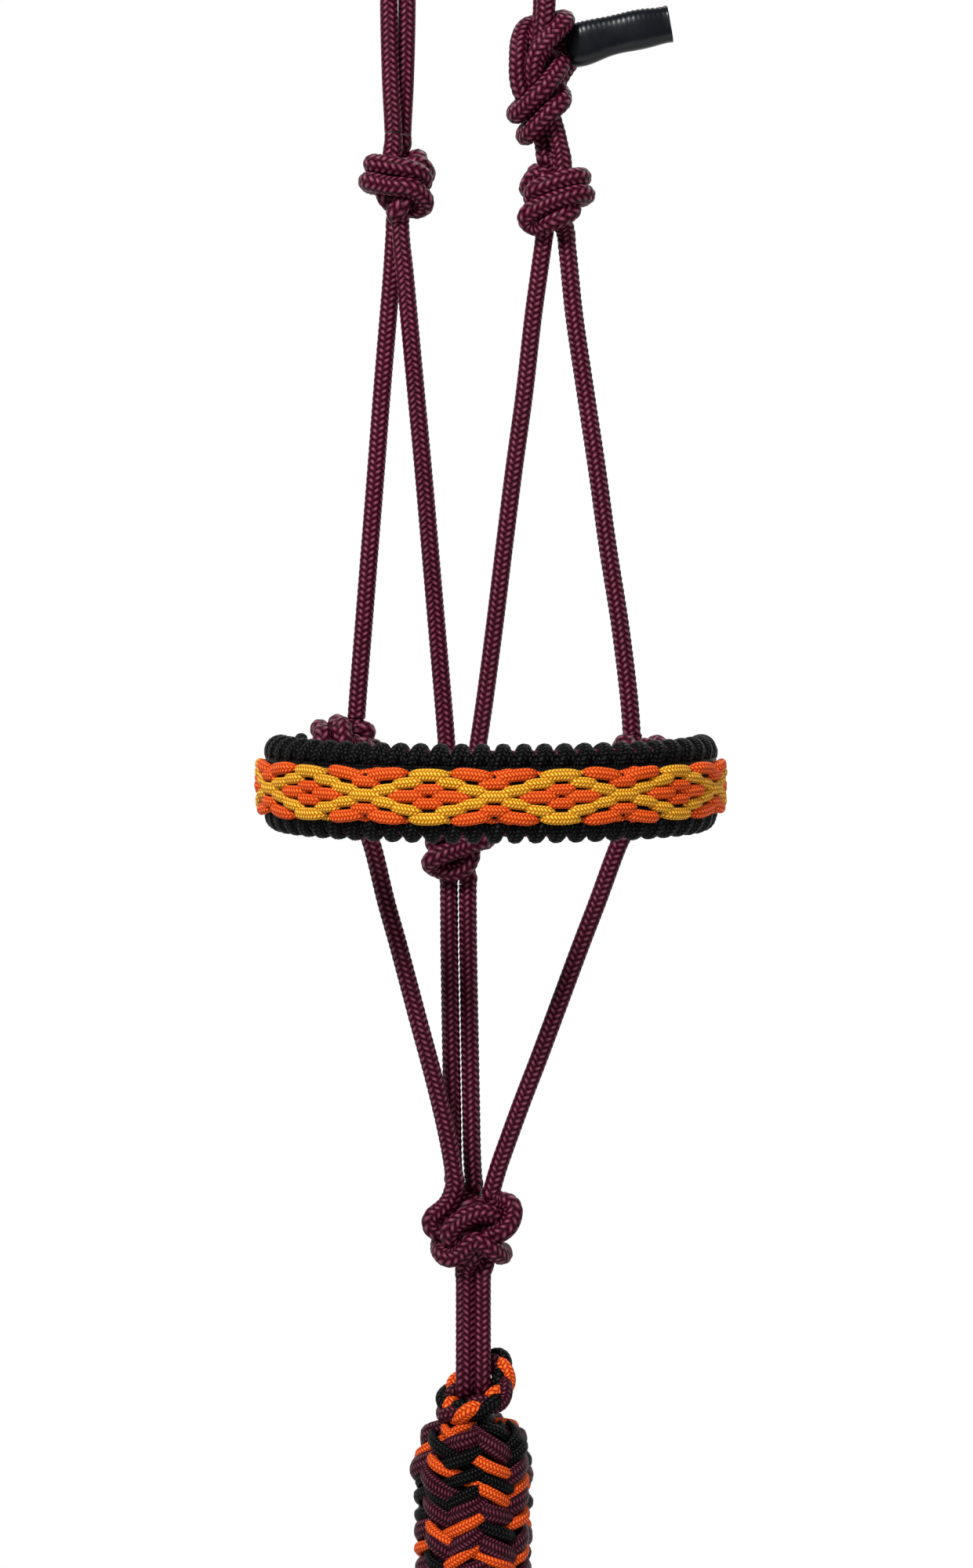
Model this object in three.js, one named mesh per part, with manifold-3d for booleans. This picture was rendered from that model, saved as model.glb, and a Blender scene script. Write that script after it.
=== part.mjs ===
// A rope halter for a horse with a woven noseband and a braided lead, hanging from its crown.
// Millimetres. +Z is up, X runs from the off side to the near side across the halter's flat, and
// -Y is the front, where the noseband bows out. The origin is on top of the crown's arch.
import * as THREE from "three";
import { mergeVertices } from "three/addons/utils/BufferGeometryUtils.js";
import Module from "manifold-3d";

// ---- driving dimensions ----
const ROPE = 6.2; // diameter of the halter's braided rope
const GAP = 0.3; // clearance between pieces that touch
const CROWN_RADIUS = 25.5; // the rope's centreline over the poll
const STRAND_OFFSET = 3.35; // half the distance between two ropes that lie side by side
const SIDES = 8; // facets round a rope

const CHEEK_KNOT_LEFT = [-26, 0, -240.5];
const CHEEK_KNOT_RIGHT = [28.2, 0, -245.3];
const NOSE_KNOT_LEFT = [-46, -7, -440.5];
const NOSE_KNOT_RIGHT = [59.6, -7, -446];
const THROAT_KNOT = [-5.3, 14, -467];
const CHIN_KNOT = [0, 0, -602];

const NOSE_KNOT_LENGTH = 19;
const NOSE_KNOT_DIAMETER = 20;

const BAND_CENTRE = [6, -24]; // x and y of the ellipse that the noseband's front follows
const BAND_HALF_WIDTH = 71.5;
const BAND_DEPTH = 52;
const BAND_HEIGHT_AT_SIDES = -447.1;
const BAND_FRONT_DROP = 4.1; // the front hangs this much lower than the sides
const BAND_HALF_SPACING = 11; // from the band's middle to each of its two ropes
const BAND_END_HALF_SPACING = 5.5; // the same where the ropes go into the nose knots
const BAND_EDGE_DIAMETER = 10; // a noseband rope with its hitched cord on

const STITCH_HALF_PITCH = 6.8; // along the band's rope, from one row's stitches to the next row's
const ROW_SPACING = 2.6;
const ROWS_FROM_MIDDLE = 3; // seven rows: the middle one and three to each side
const ROWS_START = 2; // arc length from the band's centre to the first yellow crossing
const LACING_WIDTH = 3.8;
const LACING_THICKNESS = 1.4;
const LACING_BACK_LAYER = 6;
const LACING_FRONT_LAYER = 8.2;
const ORANGE_PHASES = [2, 4, 8, 10]; // where each cord starts in the zigzag's 12 half pitches
const YELLOW_PHASES = [0, 6];

const TAIL_PIVOT = [32, 1.5, -200.5];
const SLEEVE_WALL = 0.9;

const BIGHT_RADIUS = 7.4; // the lead loop's ropes, where they turn round the lead's eye
const BIGHT_CENTRE_Z = -650.7; // the lead's eye turns about this height
const EYE_CORD = 7.5; // thickness of the braid in the lead's eye
const EYE_HALF_WIDTH = 10.8;
const EYE_HEIGHT = 16.2; // between the middles of its upper and its lower side
const EYE_TILT = 38; // degrees that the eye leans to the front

const COVER_TOP = -668;
const COVER_RADIUS = 19.3;
const COVER_NOSE_Z = -745; // centre of the cover's round lower end, which the lead rope turns about
const COVER_NOSE_RADIUS = 9.5;

const LEAD_ROPE = 15;
const HANK_TOP = -782.5;
const HANK_FOLD_RADIUS = 26; // centreline of the lead rope where it turns back
const HANK_RUN = 225; // straight part of each run
const HANK_LAYERS = 5; // runs side by side from the hank's front to its back
const HANK_PITCH = 15.4; // from one layer to the next
const HANK_TIE_HEIGHT = 22;
const HANK_TIE_THICKNESS = 4;
const HANK_TIE_CORNER = 3;
const END_KNOT_DIAMETER = 22;
const END_KNOT_LENGTH = 30;

// ---- colours ----
const MAROON = { color: 0x5a1030, roughness: 0.45, metalness: 0 };
const BLACK_CORD = { color: 0x101012, roughness: 0.6, metalness: 0 };
const ORANGE = { color: 0xf4622a, roughness: 0.55, metalness: 0 };
const YELLOW = { color: 0xf0ac28, roughness: 0.55, metalness: 0 };
const RUBBER = { color: 0x0c0d10, roughness: 0.4, metalness: 0 };

const wasm = await Module();
wasm.setup();

const halter = new THREE.Group();

// ---- building blocks ----
const vector = (point) => new THREE.Vector3(...point);
const smooth = (points) => new THREE.CatmullRomCurve3(points.map(vector));

function addPiece(name, geometry, look) {
  const mesh = new THREE.Mesh(geometry, new THREE.MeshStandardMaterial(look));
  mesh.name = name;
  halter.add(mesh);
}

// Part of a route, from one distance along it to another.
class Stretch extends THREE.Curve {
  constructor(route, start, end) {
    super();
    this.route = route;
    this.start = start / route.getLength();
    this.end = end / route.getLength();
  }

  getPoint(t, target) {
    return this.route.getPointAt(THREE.MathUtils.lerp(this.start, this.end, t), target);
  }
}

function polygon(radius, sides = SIDES) {
  const points = [];
  for (let i = 0; i < sides; i++) {
    const angle = ((i + 0.5) * 2 * Math.PI) / sides;
    points.push(new THREE.Vector2(radius * Math.cos(angle), radius * Math.sin(angle)));
  }
  return points;
}

function extrudeAlong(route, outline, spacing, hole) {
  const section = new THREE.Shape(outline);
  if (hole) section.holes.push(new THREE.Path(hole));
  const steps = Math.max(1, Math.round(route.getLength() / spacing));
  return new THREE.ExtrudeGeometry(section, { steps, extrudePath: route, bevelEnabled: false });
}

const tube = (route, diameter = ROPE, spacing = 2.4 * ROPE) =>
  extrudeAlong(route, polygon(diameter / 2), spacing);

function solidOf(geometry) {
  const bare = geometry.index ? geometry.toNonIndexed() : geometry.clone();
  bare.deleteAttribute("normal");
  bare.deleteAttribute("uv");
  const merged = mergeVertices(bare, 1e-4);
  return new wasm.Manifold(
    new wasm.Mesh({
      numProp: 3,
      vertProperties: merged.attributes.position.array,
      triVerts: new Uint32Array(merged.index.array),
    }),
  );
}

function geometryOf(solid) {
  const mesh = solid.getMesh();
  const geometry = new THREE.BufferGeometry();
  geometry.setAttribute("position", new THREE.BufferAttribute(mesh.vertProperties, 3));
  geometry.setIndex(new THREE.BufferAttribute(mesh.triVerts, 1));
  return geometry;
}

const joined = (geometries) =>
  geometryOf(geometries.map(solidOf).reduce((all, solid) => all.add(solid)));

// One turn of rope round a knot: a ring of the given outside width and depth, leaning sideways.
function wrap(centre, width, depth, lean, rope = ROPE) {
  const ring = new THREE.TorusGeometry((width - rope) / 2, rope / 2, 6, 12);
  ring.scale(1, depth / width, 1);
  ring.rotateY(THREE.MathUtils.degToRad(lean));
  ring.translate(...centre);
  return ring;
}

function lump(centre, width, depth, height) {
  const ball = new THREE.SphereGeometry(0.5, 10, 6);
  ball.rotateX(Math.PI / 2);
  ball.scale(width, depth, height);
  ball.translate(...centre);
  return ball;
}

// ---- strands between the knots ----
// Each route runs from inside one knot to inside the next. `inFirst` and `inLast` are the lengths
// that belong to those knots, as the stubs that the strand meets face to face.
const strandsOf = {};

function strand(name, first, inFirst, last, inLast, points, spacing) {
  const route = smooth(points);
  const length = route.getLength();
  (strandsOf[first] ??= []).push(tube(new Stretch(route, 0, inFirst - GAP / 2)));
  (strandsOf[last] ??= []).push(tube(new Stretch(route, length - inLast + GAP / 2, length)));
  const free = new Stretch(route, inFirst + GAP / 2, length - inLast - GAP / 2);
  addPiece(name, tube(free, ROPE, spacing), MAROON);
}

function crownPoints(left, right, startZ, endZ) {
  const points = [[left[0], left[1], startZ], [left[0], left[1], -205], [left[0], left[1], -175]];
  const side = Math.sign(left[1]);
  const archY = side * STRAND_OFFSET;
  points.push([left[0] + 0.25 * (-CROWN_RADIUS - left[0]), left[1] + side * 0.8, -140]);
  points.push([left[0] + 0.65 * (-CROWN_RADIUS - left[0]), left[1] + side * 1.7, -110]);
  points.push([-CROWN_RADIUS, archY, -80]);
  const archCentre = -ROPE / 2 - CROWN_RADIUS;
  for (let angle = 180; angle >= 0; angle -= 30) {
    const a = THREE.MathUtils.degToRad(angle);
    points.push([CROWN_RADIUS * Math.cos(a), archY, archCentre + CROWN_RADIUS * Math.sin(a)]);
  }
  points.push([CROWN_RADIUS, archY, -80], [right[0], archY, -130], [right[0], archY, endZ]);
  return points;
}

function crown() {
  strand("crown_strand_front", "left_cheek_knot", 14, "crown_tie_knot", 15,
    crownPoints([-29.1, -1.6], [25.2], -240, -200));
  strand("crown_strand_back", "left_cheek_knot", 14, "crown_tie_knot", 15,
    crownPoints([-22.9, 1.6], [23.9], -240, -200));
  strand("tie_loop_strand_back", "right_cheek_knot", 11, "crown_tie_knot", 8,
    [[25.3, 2.6, -243], [25.3, 2.6, -234], [25.2, 2.6, -226], [24.8, 2.4, -216]]);
  strand("tie_loop_strand_front", "right_cheek_knot", 11, "crown_tie_knot", 8,
    [[30.9, -2.6, -243], [30.8, -2.6, -234], [30.2, -2.6, -226], [28.6, -2.4, -216]]);
}

function sidesAndChin() {
  strand("left_cheek_strap", "left_cheek_knot", 15, "left_nose_knot", 15,
    [[-26.6, 2.8, -242], [-27, 3.4, -253], [-27.5, 3.5, -261], [-28.2, 3, -272], [-29.3, 2, -286],
      [-31.5, 0, -313], [-33.5, -1.8, -340], [-35.6, -3.4, -367], [-37.7, -4.9, -394],
      [-39.6, -6, -418], [-40.3, -6.8, -429], [-40.6, -7, -441]]);
  strand("left_throat_strap", "left_cheek_knot", 15, "throat_knot", 14,
    [[-25.4, -2.8, -242], [-25.2, -3.3, -253], [-24.8, -3.4, -261], [-23.6, -2.8, -272],
      [-22.3, -1.8, -286], [-19.8, 0.6, -313], [-17.3, 3.2, -340], [-15, 6, -367],
      [-12.7, 8.8, -394], [-10.4, 11.6, -421], [-9.2, 13.2, -437], [-8.8, 14, -452],
      [-8.6, 14, -464]]);
  strand("right_throat_strap", "right_cheek_knot", 13, "throat_knot", 14,
    [[25, 0, -246], [24.5, 0, -258], [23.2, 0, -268], [20.7, 0.6, -286], [17.6, 1.8, -313],
      [13.9, 3.8, -340], [10.5, 6.2, -367], [7.2, 9, -394], [3.6, 11.7, -421],
      [1.2, 13.2, -437], [-0.8, 14, -452], [-1.8, 14, -464]]);
  strand("right_cheek_strap", "right_cheek_knot", 13, "right_nose_knot", 15,
    [[31.6, 0, -246], [31.8, 0, -258], [32.8, -0.3, -268], [34.6, -1, -286], [38.5, -2.2, -313],
      [42.5, -3.4, -340], [46.2, -4.4, -367], [50.4, -5.4, -394], [53.6, -6.2, -421],
      [54.4, -6.7, -434], [54.6, -7, -446]]);
  strand("throat_drop_left", "throat_knot", 13, "chin_knot", 14,
    [[-8.6, 14, -468], [-8.6, 13.6, -479], [-8.5, 12.4, -489], [-8.4, 11, -502],
      [-8, 7.6, -526], [-7.6, 4.6, -546], [-7.3, 2.8, -562], [-7.1, 2.2, -576],
      [-6.6, 2.6, -588], [-6, 3.4, -600]]);
  strand("throat_drop_right", "throat_knot", 13, "chin_knot", 14,
    [[-2, 14, -468], [-2, 13.6, -479], [-2, 12.6, -489], [-1.9, 11.4, -502],
      [-1.5, 8.2, -526], [-1.1, 5.4, -546], [-0.8, 3.8, -562], [-0.5, 3.6, -576],
      [0.2, 4, -588], [1, 4.4, -600]]);
  strand("left_chin_strap", "left_nose_knot", 14, "chin_knot", 13,
    [[-40.6, -7, -441], [-39.8, -7, -451], [-37.4, -7.2, -461], [-34.4, -7.6, -470],
      [-29.7, -8.6, -489], [-26, -9.4, -502], [-18.8, -10, -529], [-15, -9.6, -543],
      [-11.7, -8.6, -556], [-8.6, -7, -570], [-6.6, -5.4, -582], [-5.8, -4.6, -590],
      [-5.4, -4, -600]]);
  strand("right_chin_strap", "right_nose_knot", 14, "chin_knot", 13,
    [[54.6, -7, -446], [54.2, -7, -455], [52.4, -7, -463], [49.3, -7.2, -470],
      [42.3, -7.4, -489], [37.3, -7.4, -502], [27.3, -6.8, -529], [22.1, -6.2, -543],
      [17.1, -5.4, -556], [12.3, -4.6, -570], [8.8, -4.2, -581], [6.6, -4, -590],
      [5.6, -4, -600]]);
}

// The lead loop: two bights that hang side by side from the chin knot, round the lead's eye.
function leadLoop() {
  for (const [name, x] of [["lead_loop_left", -STRAND_OFFSET], ["lead_loop_right", STRAND_OFFSET]]) {
    const front = [[x, -3.4, -604], [x, -3.5, -616], [x, -4.6, -628], [x, -6.6, -640]];
    const turn = [];
    for (let angle = 180; angle <= 360; angle += 30) {
      const a = THREE.MathUtils.degToRad(angle);
      turn.push([x, BIGHT_RADIUS * Math.cos(a), BIGHT_CENTRE_Z + BIGHT_RADIUS * Math.sin(a)]);
    }
    const back = front.map(([px, y, z]) => [px, -y, z]).reverse();
    strand(name, "chin_knot", 12, "chin_knot", 12, [...front, ...turn, ...back], 0.6 * ROPE);
  }
}

// ---- knots ----
function knot(name, solids) {
  addPiece(name, joined([...solids, ...strandsOf[name]]), MAROON);
}

const above = ([x, y, z], rise, right = 0) => [x + right, y, z + rise];

function noseKnot(name, centre) {
  // Its turns lie round the noseband's hinge line, so the noseband can swing about it.
  const solids = [-1, 0, 1].map((place) => {
    const ring = new THREE.TorusGeometry((NOSE_KNOT_DIAMETER - ROPE) / 2, ROPE / 2, 6, 12);
    ring.rotateY(Math.PI / 2);
    ring.translate((place * (NOSE_KNOT_LENGTH - ROPE)) / 2, 0, 0);
    return ring;
  });
  const core = new THREE.CylinderGeometry(7, 7, NOSE_KNOT_LENGTH - ROPE, 12);
  core.rotateZ(Math.PI / 2);
  solids.push(core);
  for (const solid of solids) solid.translate(...centre);
  knot(name, solids);
}

function knots() {
  knot("left_cheek_knot", [
    wrap(above(CHEEK_KNOT_LEFT, 4), 25, 18, 18),
    wrap(above(CHEEK_KNOT_LEFT, -4), 25.5, 18, 18),
    lump(CHEEK_KNOT_LEFT, 21, 15, 17),
  ]);
  knot("right_cheek_knot", [
    wrap(above(CHEEK_KNOT_RIGHT, 4.2), 23, 18, -14),
    wrap(above(CHEEK_KNOT_RIGHT, -4.2), 23.5, 18, -14),
    lump(CHEEK_KNOT_RIGHT, 19, 15, 17),
  ]);
  noseKnot("left_nose_knot", NOSE_KNOT_LEFT);
  noseKnot("right_nose_knot", NOSE_KNOT_RIGHT);
  knot("throat_knot", [
    wrap(above(THROAT_KNOT, 4.2), 22.5, 18, -12),
    wrap(above(THROAT_KNOT, -4.2), 22.5, 18, -12),
    lump(THROAT_KNOT, 18, 15, 17),
  ]);
  knot("chin_knot", [
    wrap(above(CHIN_KNOT, 5.6), 31, 26, 12),
    wrap(above(CHIN_KNOT, -2), 31, 27, -14),
    wrap(above(CHIN_KNOT, -7), 25, 22, 10),
    lump(CHIN_KNOT, 25, 20, 20),
  ]);
  knot("crown_tie_knot", [
    wrap([24.2, 0, -193.5], 17, 16, -40),
    wrap([21.6, 0, -208.5], 15.5, 16, -35),
    wrap([23.9, 0, -217.5], 16, 16, -35),
    tube(smooth([[22, -1, -187], [17.2, -1.5, -191], [16.6, -2, -201], [18.6, -1.5, -211],
      [22, 0, -216]])),
    lump([23, 0, -204], 12, 11, 36),
  ]);
}

// ---- crown tail: two cut ends in a shrunk sleeve ----
function tail() {
  const [x, y, z] = TAIL_PIVOT;
  const routeAt = (offset, start, end) =>
    smooth([[x + start, y, z + offset], [x + 12, y, z + 2.6 + offset], [x + 24, y, z + 6.2 + offset],
      [x + end, y, z + 10 + offset]]);
  addPiece("tail_strand_upper", tube(routeAt(3.3, 1.6, 35.6)), MAROON);
  addPiece("tail_strand_lower", tube(routeAt(-3.3, 1.6, 35.6)), MAROON);
  const oval = (margin) => {
    const radius = ROPE / 2 + GAP + margin;
    const points = [];
    for (let i = 0; i < 12; i++) {
      const a = ((i + 0.5) * 2 * Math.PI) / 12;
      const spread = 3.3 * Math.sign(Math.cos(a));
      points.push(new THREE.Vector2(radius * Math.cos(a) + spread, radius * Math.sin(a)));
    }
    return points;
  };
  addPiece("tail_sleeve",
    extrudeAlong(new SideOn(routeAt(0, 1.2, 37)), oval(SLEEVE_WALL), 12, oval(0).reverse()), RUBBER);
}

// A route in a plane of constant Y, with the section's first direction kept in that plane.
class SideOn extends Stretch {
  constructor(route) {
    super(route, 0, route.getLength());
  }

  computeFrenetFrames(segments) {
    const frames = { tangents: [], normals: [], binormals: [] };
    for (let i = 0; i <= segments; i++) {
      const tangent = this.getTangentAt(i / segments);
      const binormal = new THREE.Vector3(0, 1, 0);
      frames.tangents.push(tangent);
      frames.binormals.push(binormal);
      frames.normals.push(new THREE.Vector3().crossVectors(binormal, tangent));
    }
    return frames;
  }
}

// ---- noseband ----
// The middle line between the band's two ropes: an ellipse across the front, and an arm at each
// end that turns in to the nose knot.
function bandMiddle() {
  const [centreX, centreY] = BAND_CENTRE;
  const arm = (kx, kz, side) => [
    [kx + side * (NOSE_KNOT_LENGTH / 2 + 1.3), -7, kz],
    [kx + side * (NOSE_KNOT_LENGTH / 2 + 4.4), -7.9, kz + 0.1 * (BAND_HEIGHT_AT_SIDES - kz)],
    [centreX + side * (BAND_HALF_WIDTH - 2.4), -11.4, kz + 0.4 * (BAND_HEIGHT_AT_SIDES - kz)],
    [centreX + side * (BAND_HALF_WIDTH - 0.3), -17.5, kz + 0.8 * (BAND_HEIGHT_AT_SIDES - kz)],
  ];
  const front = [];
  for (let angle = 180; angle >= 0; angle -= 15) {
    const a = THREE.MathUtils.degToRad(angle);
    front.push([centreX + BAND_HALF_WIDTH * Math.cos(a), centreY - BAND_DEPTH * Math.sin(a),
      BAND_HEIGHT_AT_SIDES - BAND_FRONT_DROP * Math.sin(a)]);
  }
  const leftArm = arm(NOSE_KNOT_LEFT[0], NOSE_KNOT_LEFT[2], -1);
  const rightArm = arm(NOSE_KNOT_RIGHT[0], NOSE_KNOT_RIGHT[2], 1);
  return smooth([...leftArm, ...front, ...rightArm.reverse()]);
}

// A line that follows the band: `rise(s)` up from its middle and `out(s)` to the front of it, where
// s is the distance along the middle from the band's centre. Sections keep their first direction
// pointing outwards.
class AlongBand extends THREE.Curve {
  constructor(middle, start, end, rise, out) {
    super();
    Object.assign(this, { middle, start, end, rise, out });
    this.half = middle.getLength() / 2;
  }

  distance(t) {
    return THREE.MathUtils.lerp(this.start, this.end, t);
  }

  outward(t) {
    const along = this.middle.getTangentAt(this.fraction(t));
    return new THREE.Vector3(along.y, -along.x, 0).normalize();
  }

  fraction(t) {
    return THREE.MathUtils.clamp((this.distance(t) + this.half) / (2 * this.half), 0, 1);
  }

  getPoint(t, target = new THREE.Vector3()) {
    const s = this.distance(t);
    this.middle.getPointAt(this.fraction(t), target);
    target.addScaledVector(this.outward(t), this.out(s));
    target.z += this.rise(s) * this.squeeze(s);
    return target;
  }

  // The two ropes come together along the arms, and the rows between them close up as well.
  squeeze(s) {
    const armLength = 26;
    const intoArm = THREE.MathUtils.smoothstep(Math.abs(s), this.half - armLength, this.half - 3);
    return THREE.MathUtils.lerp(1, BAND_END_HALF_SPACING / BAND_HALF_SPACING, intoArm);
  }

  computeFrenetFrames(segments) {
    const frames = { tangents: [], normals: [], binormals: [] };
    for (let i = 0; i <= segments; i++) {
      const u = i / segments;
      const tangent = this.getTangentAt(u);
      const normal = this.outward(this.getUtoTmapping(u));
      normal.addScaledVector(tangent, -normal.dot(tangent)).normalize();
      frames.tangents.push(tangent);
      frames.normals.push(normal);
      frames.binormals.push(new THREE.Vector3().crossVectors(tangent, normal));
    }
    return frames;
  }
}

function noseband() {
  const middle = bandMiddle();
  const half = middle.getLength() / 2;
  const still = () => 0;
  const edge = polygon(BAND_EDGE_DIAMETER / 2);
  const bore = polygon(ROPE / 2 + 1.5 * GAP).reverse();
  for (const [place, side] of [["upper", 1], ["lower", -1]]) {
    const rise = () => side * BAND_HALF_SPACING;
    const rope = new AlongBand(middle, -half, half, rise, still);
    addPiece(`noseband_rope_${place}`, extrudeAlong(rope, polygon(ROPE / 2), 12), MAROON);
    addPiece(`noseband_edge_${place}`, extrudeAlong(rope, edge, 12, bore), BLACK_CORD);
  }
  const end = half - 16;
  ORANGE_PHASES.forEach((phase, i) =>
    addPiece(`orange_lacing_cord_${i + 1}`, lacing(middle, end, phase), ORANGE));
  YELLOW_PHASES.forEach((phase, i) =>
    addPiece(`yellow_lacing_cord_${i + 1}`, lacing(middle, end, phase), YELLOW));
}

// A flat cord that zigzags between the band's top and bottom rows. It runs in front of the others
// on its way down and behind them on its way up, and changes over where it turns.
function lacing(middle, end, phase) {
  const period = 4 * ROWS_FROM_MIDDLE;
  const place = (s) => (s - ROWS_START) / STITCH_HALF_PITCH + phase;
  const wave = (h) => {
    const inPeriod = THREE.MathUtils.euclideanModulo(h, period);
    const quarter = ROWS_FROM_MIDDLE;
    if (inPeriod < quarter) return -inPeriod;
    if (inPeriod < 3 * quarter) return inPeriod - 2 * quarter;
    return period - inPeriod;
  };
  const slope = (h) => wave(h + 0.5) - wave(h - 0.5);
  const rise = (s) => wave(place(s)) * ROW_SPACING;
  const out = (s) => THREE.MathUtils.mapLinear(
    slope(place(s)), -1, 1, LACING_FRONT_LAYER, LACING_BACK_LAYER);
  const w = LACING_WIDTH / 2;
  const t = LACING_THICKNESS / 2;
  const tape = [[t, -w + t], [t, w - t], [0, w], [-t, w - t], [-t, -w + t], [0, -w]];
  const outline = tape.map(([x, y]) => new THREE.Vector2(x, y));
  return extrudeAlong(new AlongBand(middle, -end, end, rise, out), outline, 6);
}

// ---- lead ----
// The eye hangs in the lead loop: its upper side lies in the bights, and its lower side leans to
// the front, over the neck that goes down into the cover.
function leadEye() {
  const right = [[6.4, 0], [EYE_HALF_WIDTH - 0.8, -3], [EYE_HALF_WIDTH, -8.5],
    [EYE_HALF_WIDTH - 3.2, -EYE_HEIGHT + 2]];
  const left = right.map(([x, fall]) => [-x, fall]).reverse();
  const round = [[0, 0], ...right, [0, -EYE_HEIGHT], ...left].map(([x, fall]) => [x, 0, fall]);
  const route = new THREE.CatmullRomCurve3(round.map(vector), true);
  const ring = new THREE.TubeGeometry(route, 24, EYE_CORD / 2, SIDES, true);
  ring.rotateX(THREE.MathUtils.degToRad(-EYE_TILT));
  ring.translate(0, 0, BIGHT_CENTRE_Z);
  const neckTop = -663;
  const neckFoot = COVER_TOP + GAP;
  const neck = new THREE.CylinderGeometry(7.5, 8.5, neckTop - neckFoot, 12);
  neck.rotateX(Math.PI / 2);
  neck.translate(0, -3.5, (neckTop + neckFoot) / 2);
  addPiece("lead_eye", joined([ring, neck]), MAROON);
}

// A profile turned round the vertical axis, from its top to its bottom: [radius, z].
function turned(profile, segments) {
  const points = profile.map(([radius, z]) => new THREE.Vector2(radius, z)).reverse();
  const body = new THREE.LatheGeometry(points, segments);
  body.rotateX(Math.PI / 2);
  return body;
}

function leadCover() {
  const profile = [[0, COVER_TOP], [13, COVER_TOP], [18, COVER_TOP - 5], [COVER_RADIUS, COVER_TOP - 13],
    [COVER_RADIUS, COVER_NOSE_Z + 14], [16, COVER_NOSE_Z + 5]];
  for (const angle of [0, 22.5, 45, 67.5]) {
    const a = THREE.MathUtils.degToRad(angle);
    profile.push([COVER_NOSE_RADIUS * Math.cos(a), COVER_NOSE_Z - COVER_NOSE_RADIUS * Math.sin(a)]);
  }
  profile.push([0, COVER_NOSE_Z - COVER_NOSE_RADIUS]);
  addPiece("lead_cover_knot", turned(profile, 16), MAROON);
}

// The lead rope goes straight down into its hank: runs folded back and forth in layers, held by a
// tie round the waist. The rope's end comes out of the bottom in an end knot.
function leadRope() {
  const top = vector([0, 0, COVER_NOSE_Z - COVER_NOSE_RADIUS - 2 * GAP]);
  const run = new THREE.LineCurve3(top, vector([0, 0, HANK_TOP + GAP]));
  addPiece("lead_rope_run", tube(run, LEAD_ROPE, LEAD_ROPE), MAROON);

  const halfWidth = HANK_FOLD_RADIUS + LEAD_ROPE / 2;
  const depth = HANK_LAYERS * HANK_PITCH;
  const outline = new THREE.Shape();
  outline.absarc(0, HANK_RUN / 2, halfWidth, 0, Math.PI);
  outline.absarc(0, -HANK_RUN / 2, halfWidth, Math.PI, 2 * Math.PI);
  const hank = new THREE.ExtrudeGeometry(outline, { depth, bevelEnabled: false, curveSegments: 10 });
  const middle = HANK_TOP - halfWidth - HANK_RUN / 2;
  hank.rotateX(Math.PI / 2);
  hank.translate(0, depth / 2, middle);
  addPiece("lead_rope_hank", hank, MAROON);

  const wall = GAP + HANK_TIE_THICKNESS;
  const tie = new THREE.Shape(cornered(halfWidth + wall, depth / 2 + wall, HANK_TIE_CORNER));
  tie.holes.push(new THREE.Path(cornered(halfWidth + GAP, depth / 2 + GAP, GAP / 2).reverse()));
  const band = new THREE.ExtrudeGeometry(tie, { depth: HANK_TIE_HEIGHT, bevelEnabled: false });
  band.translate(0, 0, middle - HANK_TIE_HEIGHT / 2);
  addPiece("hank_tie", band, MAROON);

  const endKnot = new THREE.CylinderGeometry(
    END_KNOT_DIAMETER / 2, END_KNOT_DIAMETER / 2, END_KNOT_LENGTH, 12);
  endKnot.rotateX(Math.PI / 2);
  const foot = middle - HANK_RUN / 2 - halfWidth;
  endKnot.translate(-HANK_FOLD_RADIUS, (depth - HANK_PITCH) / 2, foot - GAP - END_KNOT_LENGTH / 2);
  addPiece("lead_end_knot", endKnot, MAROON);
}

// A rectangle with its corners cut off.
function cornered(halfWidth, halfDepth, cut) {
  return [[1, 1], [-1, 1], [-1, -1], [1, -1]].flatMap(([sideX, sideY]) => {
    const onEnd = new THREE.Vector2(sideX * halfWidth, sideY * (halfDepth - cut));
    const onFront = new THREE.Vector2(sideX * (halfWidth - cut), sideY * halfDepth);
    return sideX * sideY > 0 ? [onEnd, onFront] : [onFront, onEnd];
  });
}

crown();
sidesAndChin();
leadLoop();
knots();
tail();
noseband();
leadEye();
leadCover();
leadRope();

export default halter;
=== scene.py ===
"""A knotted rope halter with a woven noseband and a braided lead, hanging from its crown.

Every rope is laid along a route as a mesh tube with the relief of its braid. The knots are listed
routes, which a short relaxation pushes clear of each other. Lengths in the tables of points
are in millimetres, as in the CAD source, and mm() turns them into metres.
"""
import math

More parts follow.
